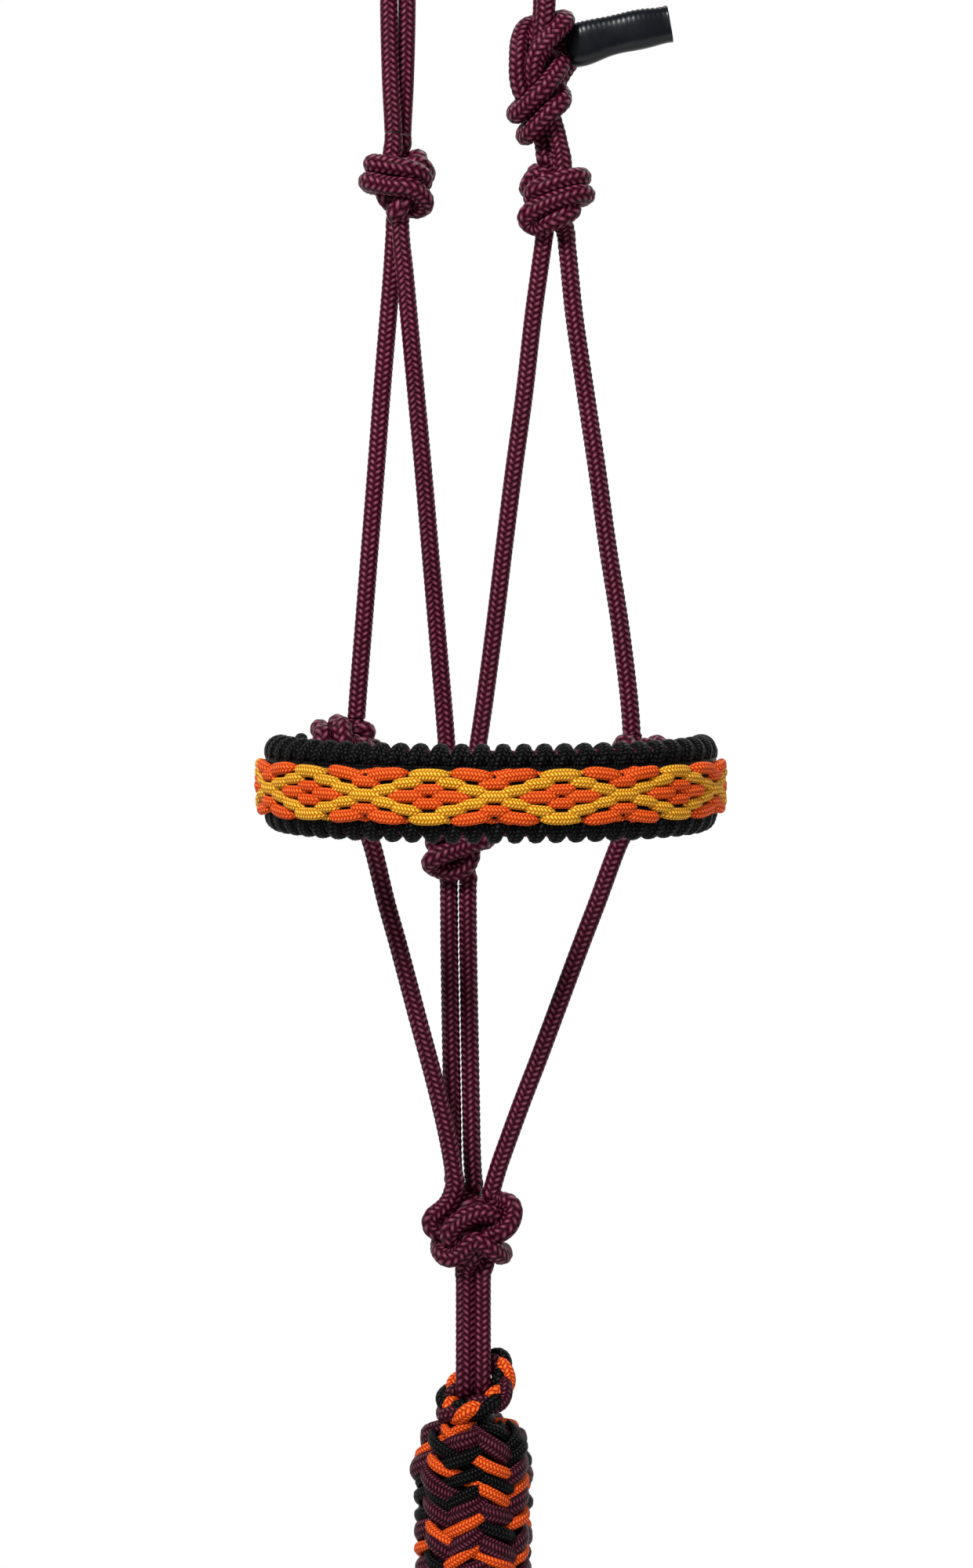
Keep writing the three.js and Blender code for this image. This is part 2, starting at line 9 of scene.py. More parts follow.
import bpy
import numpy as np
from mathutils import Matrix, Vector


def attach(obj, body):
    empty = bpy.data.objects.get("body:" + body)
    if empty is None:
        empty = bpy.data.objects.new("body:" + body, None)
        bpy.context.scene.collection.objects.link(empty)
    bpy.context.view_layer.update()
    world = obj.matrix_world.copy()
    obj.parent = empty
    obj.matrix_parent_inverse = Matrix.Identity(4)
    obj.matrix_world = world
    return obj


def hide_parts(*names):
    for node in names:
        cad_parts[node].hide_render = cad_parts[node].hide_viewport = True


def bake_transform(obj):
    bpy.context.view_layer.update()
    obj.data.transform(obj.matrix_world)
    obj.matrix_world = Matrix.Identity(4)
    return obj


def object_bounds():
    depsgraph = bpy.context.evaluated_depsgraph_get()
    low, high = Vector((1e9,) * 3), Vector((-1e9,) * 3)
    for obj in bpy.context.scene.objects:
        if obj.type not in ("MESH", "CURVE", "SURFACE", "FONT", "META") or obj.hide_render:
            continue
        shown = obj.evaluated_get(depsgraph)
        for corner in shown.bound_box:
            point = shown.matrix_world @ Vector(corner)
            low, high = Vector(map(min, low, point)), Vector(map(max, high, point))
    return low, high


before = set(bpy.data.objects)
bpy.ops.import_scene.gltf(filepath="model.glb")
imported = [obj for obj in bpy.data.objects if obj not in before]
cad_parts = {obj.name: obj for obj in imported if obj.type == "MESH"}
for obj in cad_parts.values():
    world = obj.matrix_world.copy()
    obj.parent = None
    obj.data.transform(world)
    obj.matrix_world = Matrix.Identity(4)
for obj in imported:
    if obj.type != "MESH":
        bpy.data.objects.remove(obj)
cad_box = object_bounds()

MM = 0.001
ROPE = 6.2 * MM  # diameter of the halter's rope
ROPE_COLUMNS, ROPE_PITCH = 8, 2.15 * MM  # yarn columns round the braid, and the length of a stitch
CORD_COLUMNS, CORD_PITCH = 8, 1.1 * MM  # the same for the noseband's and the lead's cords
LEAD_ROPE = 15 * MM
LEAD_COLUMNS, LEAD_PITCH = 8, 7.0 * MM
FILAMENTS, LEAD_FILAMENTS = 5, 9  # fine ridges across a yarn of the cords and of the lead rope
KNOT_SPACING = 1.6  # between the points of a knot's strands while they are relaxed, in millimetres
STRAND_OFFSET = 3.35  # half the distance between two ropes side by side, in millimetres


def mm(points):
    return np.asarray(points, float) * MM


# ---- camera, light and floor ----
CAMERA_CENTRE = (4.5 * MM, -448 * MM)  # x and z that the picture's middle looks at
PICTURE_HEIGHT = 540 * MM
CAMERA_DISTANCE = 1.5
FLOOR_DROP = 0.02  # the floor lies this far below the lead's end
FLOOR_REACH = 1.6  # from the floor's middle to each of its edges
GLOW_BEHIND, GLOW_IN_FRONT = 1.0, 0.22  # the world's strength behind the halter and round the camera


def placed(name, data, location=(0, 0, 0), turn=(0, 0, 0)):
    """Adds an object to the scene."""
    thing = bpy.data.objects.new(name, data)
    thing.location = location
    thing.rotation_euler = turn
    bpy.context.scene.collection.objects.link(thing)
    return thing


def camera():
    data = bpy.data.cameras.new("camera")
    data.sensor_fit = "VERTICAL"
    data.sensor_height = 36
    data.lens = data.sensor_height * CAMERA_DISTANCE / PICTURE_HEIGHT
    place = (CAMERA_CENTRE[0], -CAMERA_DISTANCE, CAMERA_CENTRE[1])
    bpy.context.scene.camera = placed("camera", data, place, (math.radians(90), 0, 0))


def area_light(name, place, target, size, power):
    data = bpy.data.lights.new(name, "AREA")
    data.energy = power
    data.size = size
    aim = np.array(target) - np.array(place)
    flat = math.hypot(aim[0], aim[1])
    placed(name, data, place, (math.atan2(flat, -aim[2]), 0, math.atan2(-aim[0], aim[1])))


def studio():
    bpy.context.scene.view_settings.view_transform = "Standard"
    middle = (0, 0, CAMERA_CENTRE[1])
    area_light("key", (-0.55, -1.0, 0.5), middle, 0.35, 31)
    area_light("fill", (1.3, -1.2, 0.2), middle, 0.7, 10)
    area_light("rim", (0.4, 0.9, 0.5), middle, 0.6, 3)
    world = bpy.data.worlds.new("studio")
    world.use_nodes = True
    nodes = Nodes(world)
    direction = world.node_tree.nodes.new("ShaderNodeTexCoord")
    split = world.node_tree.nodes.new("ShaderNodeSeparateXYZ")
    nodes.plug(split.inputs["Vector"], direction.outputs["Generated"])
    background = world.node_tree.nodes["Background"]
    background.inputs["Color"].default_value = (1, 1, 1, 1)
    # White behind the halter, and dim on the camera's side, so that the key light shapes the ropes.
    turned = nodes.math("MULTIPLY_ADD", split.outputs["Y"], 1.6, 0.1)
    lit = nodes.math("MAXIMUM", turned, GLOW_IN_FRONT)
    nodes.plug(background.inputs["Strength"], nodes.math("MINIMUM", lit, GLOW_BEHIND))
    bpy.context.scene.world = world


def floor():
    z = cad_box[0][2] - FLOOR_DROP
    outline = [(x * FLOOR_REACH, y * FLOOR_REACH, z) for x, y in ((-1, -1), (1, -1), (1, 1), (-1, 1))]
    mesh = bpy.data.meshes.new("floor")
    mesh.from_pydata(outline, [], [(0, 1, 2, 3)])
    pale, shader = new_material("pale_floor")
    shader.inputs["Base Color"].default_value = (0.86, 0.86, 0.87, 1)
    shader.inputs["Roughness"].default_value = 0.8
    mesh.materials.append(pale)
    placed("floor", mesh)


# ---- lines ----
def full_turn(count):
    """Angles at an even spacing round a circle, without the last one that meets the first."""
    return np.linspace(0, 2 * math.pi, count, endpoint=False)


def on_circle(radius, degrees):
    """Pairs of places across and up, on a circle round (0, 0)."""
    return [(radius * math.cos(a), radius * math.sin(a)) for a in np.radians(degrees)]


def around_z(angle):
    """Level unit vectors at these angles from the x axis."""
    return np.stack([np.cos(angle), np.sin(angle), 0 * angle], 1)


def looked_up(at, along, points):
    """The points at the places `at`, in a table of points at the places `along`."""
    return np.stack([np.interp(at, along, points[:, k]) for k in range(3)], 1)


def resampled(points, spacing):
    points = np.asarray(points, float)
    steps = np.linalg.norm(np.diff(points, axis=0), axis=1)
    along = np.concatenate([[0], np.cumsum(steps)])
    count = max(3, int(round(along[-1] / spacing)) + 1)
    return looked_up(np.linspace(0, along[-1], count), along, points)


def smooth(points, spacing, closed=False):
    """A centripetal Catmull-Rom curve through the points, as points at an even spacing."""
    p = np.asarray(points, float)
    if closed:
        p = np.concatenate([p[-1:], p, p[:2]])
    else:
        p = np.concatenate([[2 * p[0] - p[1]], p, [2 * p[-1] - p[-2]]])
    pieces = []
    for a, b, c, d in zip(p[:-3], p[1:-2], p[2:-1], p[3:]):
        t1 = np.linalg.norm(b - a) ** 0.5
        t2 = t1 + np.linalg.norm(c - b) ** 0.5
        t3 = t2 + np.linalg.norm(d - c) ** 0.5
        t = np.linspace(t1, t2, 16, endpoint=False)[:, None]
        ab = (t1 - t) / t1 * a + t / t1 * b
        bc = (t2 - t) / (t2 - t1) * b + (t - t1) / (t2 - t1) * c
        cd = (t3 - t) / (t3 - t2) * c + (t - t2) / (t3 - t2) * d
        abc = (t2 - t) / t2 * ab + t / t2 * bc
        bcd = (t3 - t) / (t3 - t1) * bc + (t - t1) / (t3 - t1) * cd
        pieces.append((t2 - t) / (t2 - t1) * abc + (t - t1) / (t2 - t1) * bcd)
    pieces.append(p[-2:-1])
    return resampled(np.concatenate(pieces), spacing)


def normalised(vectors):
    return vectors / (np.linalg.norm(vectors, axis=-1, keepdims=True) + 1e-12)


def tangents_of(line, closed=False):
    if closed:
        return normalised(np.roll(line, -1, axis=0) - np.roll(line, 1, axis=0))
    return normalised(np.gradient(line, axis=0))


def carried_normals(tangents, first=None):
    """Normals that turn as little as they can along the line."""
    if first is None:
        first = np.array([0, -1, 0]) if abs(tangents[0][1]) < 0.8 else np.array([1, 0, 0])
    normals = np.empty_like(tangents)
    normal = np.asarray(first, float)
    for i, tangent in enumerate(tangents):
        normal = normal - normal.dot(tangent) * tangent
        normal = normal / math.sqrt(normal.dot(normal))
        normals[i] = normal
    return normals


# ---- meshes made of tubes ----
def braid_relief(around, along, columns, pitch):
    """Height from 0 to 1 of a braid of two-over, two-under yarns."""
    p = columns * around + along / pitch
    q = columns * around - along / pitch
    cell = (np.floor(p) + np.floor(q)) % 4
    one_way = cell < 2
    across = np.where(one_way, p - np.floor(p), q - np.floor(q))
    ahead = np.where(one_way, q - np.floor(q), p - np.floor(p))
    along_float = (ahead + np.where(one_way, cell, cell - 2)) / 2
    crown = np.sqrt(np.clip(1 - (2 * across - 1) ** 2, 0, 1))
    return crown * (0.45 + 0.55 * np.sin(math.pi * np.clip(along_float, 0, 1)))


class Weave:
    """Gathers tubes into the mesh of one piece."""

    def __init__(self):
        self.points = []
        self.quads = []
        self.uvs = []
        self.count = 0

    def grid(self, rings, u, v, closed):
        """Adds rings of points as a tube: u is the place round a ring, v the length along it."""
        n, sides, _ = rings.shape
        rows = np.arange(n if closed else n - 1)
        i, k = np.meshgrid(rows, np.arange(sides), indexing="ij")
        after, beside = (i + 1) % n, (k + 1) % sides
        quads = np.stack([i * sides + k, i * sides + beside, after * sides + beside, after * sides + k], -1)
        near, far = u[k], u[k] + 1 / sides
        uv = np.stack([near, v[i], far, v[i], far, v[i + 1], near, v[i + 1]], -1)
        self.points.append(rings.reshape(-1, 3))
        self.quads.append(quads.reshape(-1, 4) + self.count)
        self.uvs.append(uv.reshape(-1, 8))
        if not closed:
            self.cap(rings[0], self.count + n * sides, v[0], False)
            self.cap(rings[-1], self.count + (n + 1) * sides, v[n - 1], True)
            self.count += 2 * sides
        self.count += n * sides

    def cap(self, ring, first, v, far):
        """Closes a tube's end with points of its own, so the tube's shading runs on to its edge."""
        sides = len(ring)
        k = np.arange(sides // 2 - 1)
        quads = np.stack([k, k + 1, sides - 2 - k, sides - 1 - k], -1)
        self.points.append(ring)
        self.quads.append((quads if far else quads[:, ::-1]) + first)
        self.uvs.append(np.tile([0.0, v], (len(k), 4)))

    def tube(self, line, wide, thick=None, sides=12, normals=None, closed=False, relief=None, v0=0.0,
             first=None):
        """A tube along a line. `wide` and `thick` are radii across and along the normals, and
        `relief` is a braid's columns, pitch and height. Returns the last normal and the length
        reached, for a tube that goes on from this one."""
        tangents = tangents_of(line, closed)
        if normals is None:
            normals = carried_normals(tangents, first)
        else:
            normals = normalised(normals - (normals * tangents).sum(1, keepdims=True) * tangents)
        binormals = np.cross(tangents, normals)
        thick = wide if thick is None else thick
        u = np.arange(sides) / sides
        steps = np.linalg.norm(np.diff(np.concatenate([line, line[:1]]), axis=0), axis=1)
        v = v0 + np.concatenate([[0], np.cumsum(steps)])
        angle = 2 * math.pi * u
        wide = np.broadcast_to(np.asarray(wide, float), (len(line),))[:, None]
        thick = np.broadcast_to(np.asarray(thick, float), (len(line),))[:, None]
        swell = np.zeros((len(line), sides))
        if relief:
            columns, pitch, height = relief
            swell = height * (braid_relief(u[None, :], v[:-1, None], columns, pitch) - 1)
        out = (thick + swell) * np.cos(angle)
        side = (wide + swell) * np.sin(angle)
        rings = line[:, None] + out[..., None] * normals[:, None] + side[..., None] * binormals[:, None]
        self.grid(rings, u, v, closed)
        return normals[-1], v[-2]

    def made(self, name, material):
        mesh = bpy.data.meshes.new(name)
        points = np.concatenate(self.points).astype(np.float32)
        quads = np.concatenate(self.quads).astype(np.int32)
        mesh.vertices.add(len(points))
        mesh.vertices.foreach_set("co", points.ravel())
        mesh.loops.add(quads.size)
        mesh.loops.foreach_set("vertex_index", quads.ravel())
        mesh.polygons.add(len(quads))
        mesh.polygons.foreach_set("loop_start", np.arange(len(quads), dtype=np.int32) * 4)
        mesh.polygons.foreach_set("use_smooth", np.ones(len(quads), dtype=bool))
        layer = mesh.uv_layers.new(name="braid")
        layer.data.foreach_set("uv", np.concatenate(self.uvs).astype(np.float32).ravel())
        mesh.update(calc_edges=True)
        mesh.materials.append(material)
        return placed(name, mesh)


# ---- materials ----
def new_material(name):
    material = bpy.data.materials.new(name)
    material.use_nodes = True
    return material, material.node_tree.nodes["Principled BSDF"]


class Nodes:
    """Short names for making and joining shader nodes."""

    def __init__(self, material):
        self.tree = material.node_tree

    def plug(self, socket, value):
        if isinstance(value, bpy.types.NodeSocket):
            self.tree.links.new(value, socket)
        else:
            socket.default_value = value

    def math(self, operation, *values):
        node = self.tree.nodes.new("ShaderNodeMath")
        node.operation = operation
        for socket, value in zip(node.inputs, values):
            self.plug(socket, value)
        return node.outputs[0]

    def mix(self, factor, low, high, blend="MIX"):
        node = self.tree.nodes.new("ShaderNodeMix")
        node.data_type = "RGBA"
        node.blend_type = blend
        self.plug(node.inputs["Factor"], factor)
        self.plug(node.inputs["A"], low)
        self.plug(node.inputs["B"], high)
        return node.outputs["Result"]

    def noise(self, scale, detail=3.0):
        node = self.tree.nodes.new("ShaderNodeTexNoise")
        coordinates = self.tree.nodes.new("ShaderNodeTexCoord")
        self.tree.links.new(coordinates.outputs["Object"], node.inputs["Vector"])
        node.inputs["Scale"].default_value = scale
        node.inputs["Detail"].default_value = detail
        return node.outputs["Fac"]

    def bump(self, height, distance, strength=1.0):
        node = self.tree.nodes.new("ShaderNodeBump")
        self.plug(node.inputs["Height"], height)
        node.inputs["Distance"].default_value = distance
        node.inputs["Strength"].default_value = strength
        return node.outputs["Normal"]

    def braid(self, columns, pitch):
        """The height of a braid's surface, the place across a yarn and the yarn's number, all in the
        tube's own UV, as braid_relief() has them."""
        uv = self.tree.nodes.new("ShaderNodeUVMap")
        uv.uv_map = "braid"
        split = self.tree.nodes.new("ShaderNodeSeparateXYZ")
        self.tree.links.new(uv.outputs["UV"], split.inputs["Vector"])
        round_tube = self.math("MULTIPLY", split.outputs["X"], columns)
        along = self.math("DIVIDE", split.outputs["Y"], pitch)
        p = self.math("ADD", round_tube, along)
        q = self.math("SUBTRACT", round_tube, along)
        p_yarn, q_yarn = self.math("FLOOR", p), self.math("FLOOR", q)
        cell = self.math("FLOORED_MODULO", self.math("ADD", p_yarn, q_yarn), 4)
        one_way = self.math("LESS_THAN", cell, 1.5)
        p_part, q_part = self.math("FRACT", p), self.math("FRACT", q)
        across = self.choose(one_way, q_part, p_part)
        ahead = self.choose(one_way, p_part, q_part)
        second = self.math("FLOORED_MODULO", cell, 2)
        float_place = self.math("DIVIDE", self.math("ADD", ahead, second), 2)
        rise = self.math("SINE", self.math("MULTIPLY", float_place, math.pi))
        edge = self.math("SUBTRACT", self.math("MULTIPLY", across, 2), 1)
        crown = self.math("SUBTRACT", 1, self.math("MULTIPLY", edge, edge))
        round_yarn = self.math("SQRT", crown)
        fall = self.math("ADD", 0.45, self.math("MULTIPLY", rise, 0.55))
        height = self.math("MULTIPLY", round_yarn, fall)
        yarn = self.choose(one_way, q_yarn, p_yarn)
        return height, across, yarn

    def choose(self, test, if_not, if_so):
        difference = self.math("SUBTRACT", if_so, if_not)
        return self.math("ADD", if_not, self.math("MULTIPLY", test, difference))


BRAID_COLOURS = {  # painted shade between the yarns, the yarns' own colour, and a painted highlight on their crowns
    "maroon_braid": ((0.011, 0.0003, 0.0022), (0.082, 0.0035, 0.02), (0.3, 0.085, 0.15)),
    "maroon_cord_braid": ((0.003, 0.0001, 0.0007), (0.06, 0.0027, 0.013), (0.25, 0.06, 0.1)),
    "black_braid": ((0.0002, 0.0002, 0.0002), (0.0012, 0.0012, 0.0015), (0.03, 0.03, 0.033)),
    "orange_braid": ((0.24, 0.009, 0.001), (1.0, 0.125, 0.011), (1.0, 0.24, 0.055)),
    "yellow_braid": ((0.25, 0.06, 0.001), (0.96, 0.46, 0.016), (1.0, 0.72, 0.16)),
}
GLINT = 0.6  # how much of the painted highlight on the crowns shows
GROOVE_SHADE_POWER, GLINT_POWER = 2.0, 9.0  # of the height, for the painted shade towards the yarns' gaps and the painted highlight on their crowns


def braid_material(name, columns, pitch, bump, roughness, specular):
    """Braided cord, with painted shade and no sheen between its yarns, and a painted highlight on their
    crowns.
    """
    material, shader = new_material(name)
    n = Nodes(material)
    dark, bright, crown = ((*colour, 1) for colour in BRAID_COLOURS[name])
    height, across, _ = n.braid(columns, pitch)
    patchy = n.math("ADD", 0.65, n.math("MULTIPLY", n.noise(90), 0.7))
    # Painted shade: the yarns darken from their tops towards the gaps between them.
    groove_shade_factor = n.math("MULTIPLY", n.math("POWER", height, GROOVE_SHADE_POWER), patchy)
    glint = n.math("MULTIPLY", patchy, GLINT)
    # Painted highlight: the yarns' crowns lighten towards a glint colour.
    painted_glint_mask = n.math("MULTIPLY", n.math("POWER", height, GLINT_POWER), glint)
    n.plug(shader.inputs["Base Color"], n.mix(painted_glint_mask, n.mix(groove_shade_factor, dark, bright), crown))
    filaments = n.math("SINE", n.math("MULTIPLY", across, FILAMENTS * 2 * math.pi))
    surface = n.math("ADD", height, n.math("MULTIPLY", filaments, 0.07))
    n.plug(shader.inputs["Normal"], n.bump(surface, bump))
    shader.inputs["Roughness"].default_value = roughness
    n.plug(shader.inputs["Specular IOR Level"], n.math("MULTIPLY", height, specular))
    shader.inputs["IOR"].default_value = 1.3
    return material


def lead_rope_material():
    """Thick braid whose yarns run maroon, maroon, orange and black round the rope."""
    material, shader = new_material("lead_rope_braid")
    n = Nodes(material)
    height, across, yarn = n.braid(LEAD_COLUMNS, LEAD_PITCH)
    turn = n.math("FLOORED_MODULO", yarn, 4)
    is_orange = n.math("COMPARE", turn, 2, 0.1)
    is_black = n.math("COMPARE", turn, 3, 0.1)
    colour = n.mix(is_orange, (0.09, 0.006, 0.02, 1), (0.9, 0.12, 0.015, 1))
    colour = n.mix(is_black, colour, (0.005, 0.005, 0.006, 1))
    shade = n.mix(n.math("POWER", height, 1.4), (0.1, 0.1, 0.1, 1), (1, 1, 1, 1))
    n.plug(shader.inputs["Base Color"], n.mix(1, colour, shade, "MULTIPLY"))
    filaments = n.math("SINE", n.math("MULTIPLY", across, LEAD_FILAMENTS * 2 * math.pi))
    n.plug(shader.inputs["Normal"], n.bump(filaments, 0.12 * MM))
    shader.inputs["Roughness"].default_value = 0.45
    return material


def rubber_material():
    material, shader = new_material("shrunk_rubber")
    n = Nodes(material)
    shader.inputs["IOR"].default_value = 1.36
    dust = n.noise(180, 5)
    colour = n.mix(dust, (0.0012, 0.0015, 0.003, 1), (0.003, 0.0037, 0.0065, 1))
    n.plug(shader.inputs["Base Color"], colour)
    n.plug(shader.inputs["Roughness"], n.math("ADD", 0.2, n.math("MULTIPLY", dust, 0.14)))
    n.plug(shader.inputs["Normal"], n.bump(dust, 0.15 * MM))
    return material


camera()
studio()
floor()
MAROON = braid_material("maroon_braid", ROPE_COLUMNS, ROPE_PITCH, 0.25 * MM, 0.34, 0.3)
MAROON_CORD = braid_material("maroon_cord_braid", CORD_COLUMNS, CORD_PITCH, 0.3 * MM, 0.4, 0.3)
BLACK = braid_material("black_braid", CORD_COLUMNS, CORD_PITCH, 0.3 * MM, 0.4, 0.2)
ORANGE = braid_material("orange_braid", CORD_COLUMNS, CORD_PITCH, 0.3 * MM, 0.5, 0.25)
YELLOW = braid_material("yellow_braid", CORD_COLUMNS, CORD_PITCH, 0.3 * MM, 0.5, 0.25)
LEAD = lead_rope_material()
RUBBER = rubber_material()


# ---- knots ----
def relaxed(strands, rounds=60, diameter=6.0, bend_radius=3.4, pull=0.06):
    """Settles loose strands into a knot. A strand's ends stay where they are, its other points are
    drawn a little towards their neighbours, and points nearer than a diameter push each other off."""
    held = 3  # points at each end
    strands = [resampled(s, KNOT_SPACING) for s in strands]
    ends = [(s[:held].copy(), s[-held:].copy()) for s in strands]
    for turn in range(rounds):
        if turn % 10 == 0:
            strands = [resampled(s, KNOT_SPACING) for s in strands]
            owner = np.concatenate([np.full(len(s), k) for k, s in enumerate(strands)])
            place = np.concatenate([np.arange(len(s)) for s in strands])
            i, j = np.triu_indices(len(owner), 1)
            apart = np.where(owner[i] == owner[j], (place[j] - place[i]) * KNOT_SPACING, 1e3)
            bend = np.minimum(apart / bend_radius, math.pi)
            least = np.minimum(diameter, 2 * bend_radius * np.sin(bend / 2))
            tested = apart > 2.5 * KNOT_SPACING
            i, j, least = i[tested], j[tested], least[tested]
            cuts = np.cumsum([len(s) for s in strands])[:-1]
        for s in strands:
            s[1:-1] += pull * (0.5 * (s[:-2] + s[2:]) - s[1:-1])
        points = np.concatenate(strands)
        for _ in range(2):
            gap = points[j] - points[i]
            distance = np.linalg.norm(gap, axis=1)
            close = distance < least
            push = gap[close] * ((least - distance)[close] / (distance[close] + 1e-9))[:, None]
            move = np.zeros_like(points)
            touched = np.zeros(len(points))
            np.add.at(move, i[close], -0.5 * push)
            np.add.at(move, j[close], 0.5 * push)
            np.add.at(touched, i[close], 1)
            np.add.at(touched, j[close], 1)
            points = points + move / np.maximum(1, 0.4 * touched)[:, None]
        strands = [s.copy() for s in np.split(points, cuts)]
        for s, (first, last) in zip(strands, ends):
            s[:held] = first
            s[-held:] = last
    return strands


KNOT_TALL = 0.88  # a tight knot's height, as a share of its height with loose turns


def doubled_overhand(ins, outs, side, wide=1.0, tall=KNOT_TALL, start=0.0):
    """Two strands that run down the knot's core, turn up round it once and go down it again.
    `ins` and `outs` are each strand's last two points above the knot and first two below it. `start`
    is how much less far the upper turn reaches than the lower one."""
    strands = []
    for above, below, y, h in zip(ins, outs, (-3.1, 3.1), (-3.0, 3.0)):
        far = -10 + start * (h > 0)
        turns = np.array([
            (-2.6, y, 6), (-2.6, y, -3), (2.5, -3, -7.8 + 0.4 * h), (9.3, -5, -3.8 + h),
            (5, -9.6, -1.6 + h), (-4, -10, 1 + h), (far, -4, 3 + h), (far, 5, 3.4 + h),
            (-2, 9.8, 3 + h), (6, 8, 4.6 + 0.7 * h), (7.2, 2.6, 8 + 0.4 * h),
            (3.2, y, 5), (3.2, y, -4)]) * (side * wide, 1, tall)
        strands.append(smooth(np.concatenate([above, turns, below]), KNOT_SPACING))
    return strands


def at_height(route, z):
    """The x and y at which a route that runs up or down passes a height, in millimetres."""
    order = np.argsort(route[:, 2])
    return np.array([np.interp(z, route[order, 2], route[order, k]) for k in (0, 1)])


def between(route, high, low):
    """The part of a route between two heights, from the upper one to the lower one."""
    inside = route[(route[:, 2] < high) & (route[:, 2] > low)]
    if inside[0, 2] < inside[-1, 2]:
        inside = inside[::-1]
    start = [[*at_height(route, high), high]]
    end = [[*at_height(route, low), low]]
    return np.concatenate([start, inside, end])


# ---- the halter's ropes ----
CHEEK_LEFT = np.array([-26, 0, -240.5])
CHEEK_RIGHT = np.array([28.2, 0, -245.3])
THROAT = np.array([-5.3, 14, -467])
CHIN = np.array([0, 0, -602])
NOSE_LEFT = np.array([-46, -7, -440.5])
NOSE_RIGHT = np.array([59.6, -7, -446])
CROWN_RADIUS = 25.5
TIE_TOP = -168  # where the crown's strands go into the tie
CROWN_LEFT = ((-29.1, -1.6), (-22.9, 1.6))  # x and y of its front and its back strand on the left
CROWN_RIGHT_X = (25.2, 23.9)  # and their x above the tie
KNOT_REACH = 16  # from the middle of a cheek or throat knot to where its strands are free
NOSE_REACH = 15  # the same for a nose knot
NOSE_SQUASH = 0.78  # a nose knot is this much shorter along the band than a cheek knot is high
NOSE_CUT = 7.4  # its strands end this far from its middle, inside the band's end
LOOP_OFFSET = 2.95  # half the distance between the lead loop's two ropes
LOOP_TOP = -619  # where the chin knot's strands pass into the lead loop
BIGHT_RADIUS = 7.4
BIGHT_CENTRE_Z = -650.7

ROUTES = {
    "left_cheek_strap": [
        (-26.6, 2.8, -242), (-27, 3.4, -253), (-27.5, 3.5, -261), (-28.2, 3, -272), (-29.3, 2, -286),
        (-31.5, 0, -313), (-33.5, -1.8, -340), (-35.6, -3.4, -367), (-37.7, -4.9, -394),
        (-39.6, -6, -418), (-40.3, -6.8, -429), (-40.6, -7, -441)],
    "left_throat_strap": [
        (-25.4, -2.8, -242), (-25.2, -3.3, -253), (-24.8, -3.4, -261), (-23.6, -2.8, -272),
        (-22.3, -1.8, -286), (-19.8, 0.6, -313), (-17.3, 3.2, -340), (-15, 6, -367),
        (-12.7, 8.8, -394), (-10.4, 11.6, -421), (-9.2, 13.2, -437), (-8.8, 14, -452),
        (-8.6, 14, -464)],
    "right_throat_strap": [
        (25, 0, -246), (24.5, 0, -258), (23.2, 0, -268), (20.7, 0.6, -286), (17.6, 1.8, -313),
        (13.9, 3.8, -340), (10.5, 6.2, -367), (7.2, 9, -394), (3.6, 11.7, -421),
        (1.2, 13.2, -437), (-0.8, 14, -452), (-1.8, 14, -464)],
    "right_cheek_strap": [
        (31.6, 0, -246), (31.8, 0, -258), (32.8, -0.3, -268), (34.6, -1, -286), (38.5, -2.2, -313),
        (42.5, -3.4, -340), (46.2, -4.4, -367), (50.4, -5.4, -394), (53.6, -6.2, -421),
        (54.4, -6.7, -434), (54.6, -7, -446)],
    "throat_drop_left": [
        (-8.6, 14, -468), (-8.6, 13.6, -479), (-8.5, 12.4, -489), (-8.4, 11, -502),
        (-8, 7.6, -526), (-7.6, 4.6, -546), (-7.3, 2.8, -562), (-7.1, 2.2, -576),
        (-6.6, 2.6, -588), (-6, 3.4, -600)],
    "throat_drop_right": [
        (-2, 14, -468), (-2, 13.6, -479), (-2, 12.6, -489), (-1.9, 11.4, -502),
        (-1.5, 8.2, -526), (-1.1, 5.4, -546), (-0.8, 3.8, -562), (-0.5, 3.6, -576),
        (0.2, 4, -588), (1, 4.4, -600)],
    "left_chin_strap": [
        (-40.6, -7, -441), (-39.8, -7, -451), (-37.4, -7.2, -461), (-34.4, -7.6, -470),
        (-29.7, -8.6, -489), (-26, -9.4, -502), (-18.8, -10, -529), (-15, -9.6, -543),
        (-11.7, -8.6, -556), (-8.6, -7, -570), (-6.6, -5.4, -582), (-5.8, -4.6, -590),
        (-5.4, -4, -600)],
    "right_chin_strap": [
        (54.6, -7, -446), (54.2, -7, -455), (52.4, -7, -463), (49.3, -7.2, -470),
        (42.3, -7.4, -489), (37.3, -7.4, -502), (27.3, -6.8, -529), (22.1, -6.2, -543),
        (17.1, -5.4, -556), (12, -4.6, -570), (8.2, -4.2, -581), (5.9, -4, -590),
        (5, -4, -600)],
}
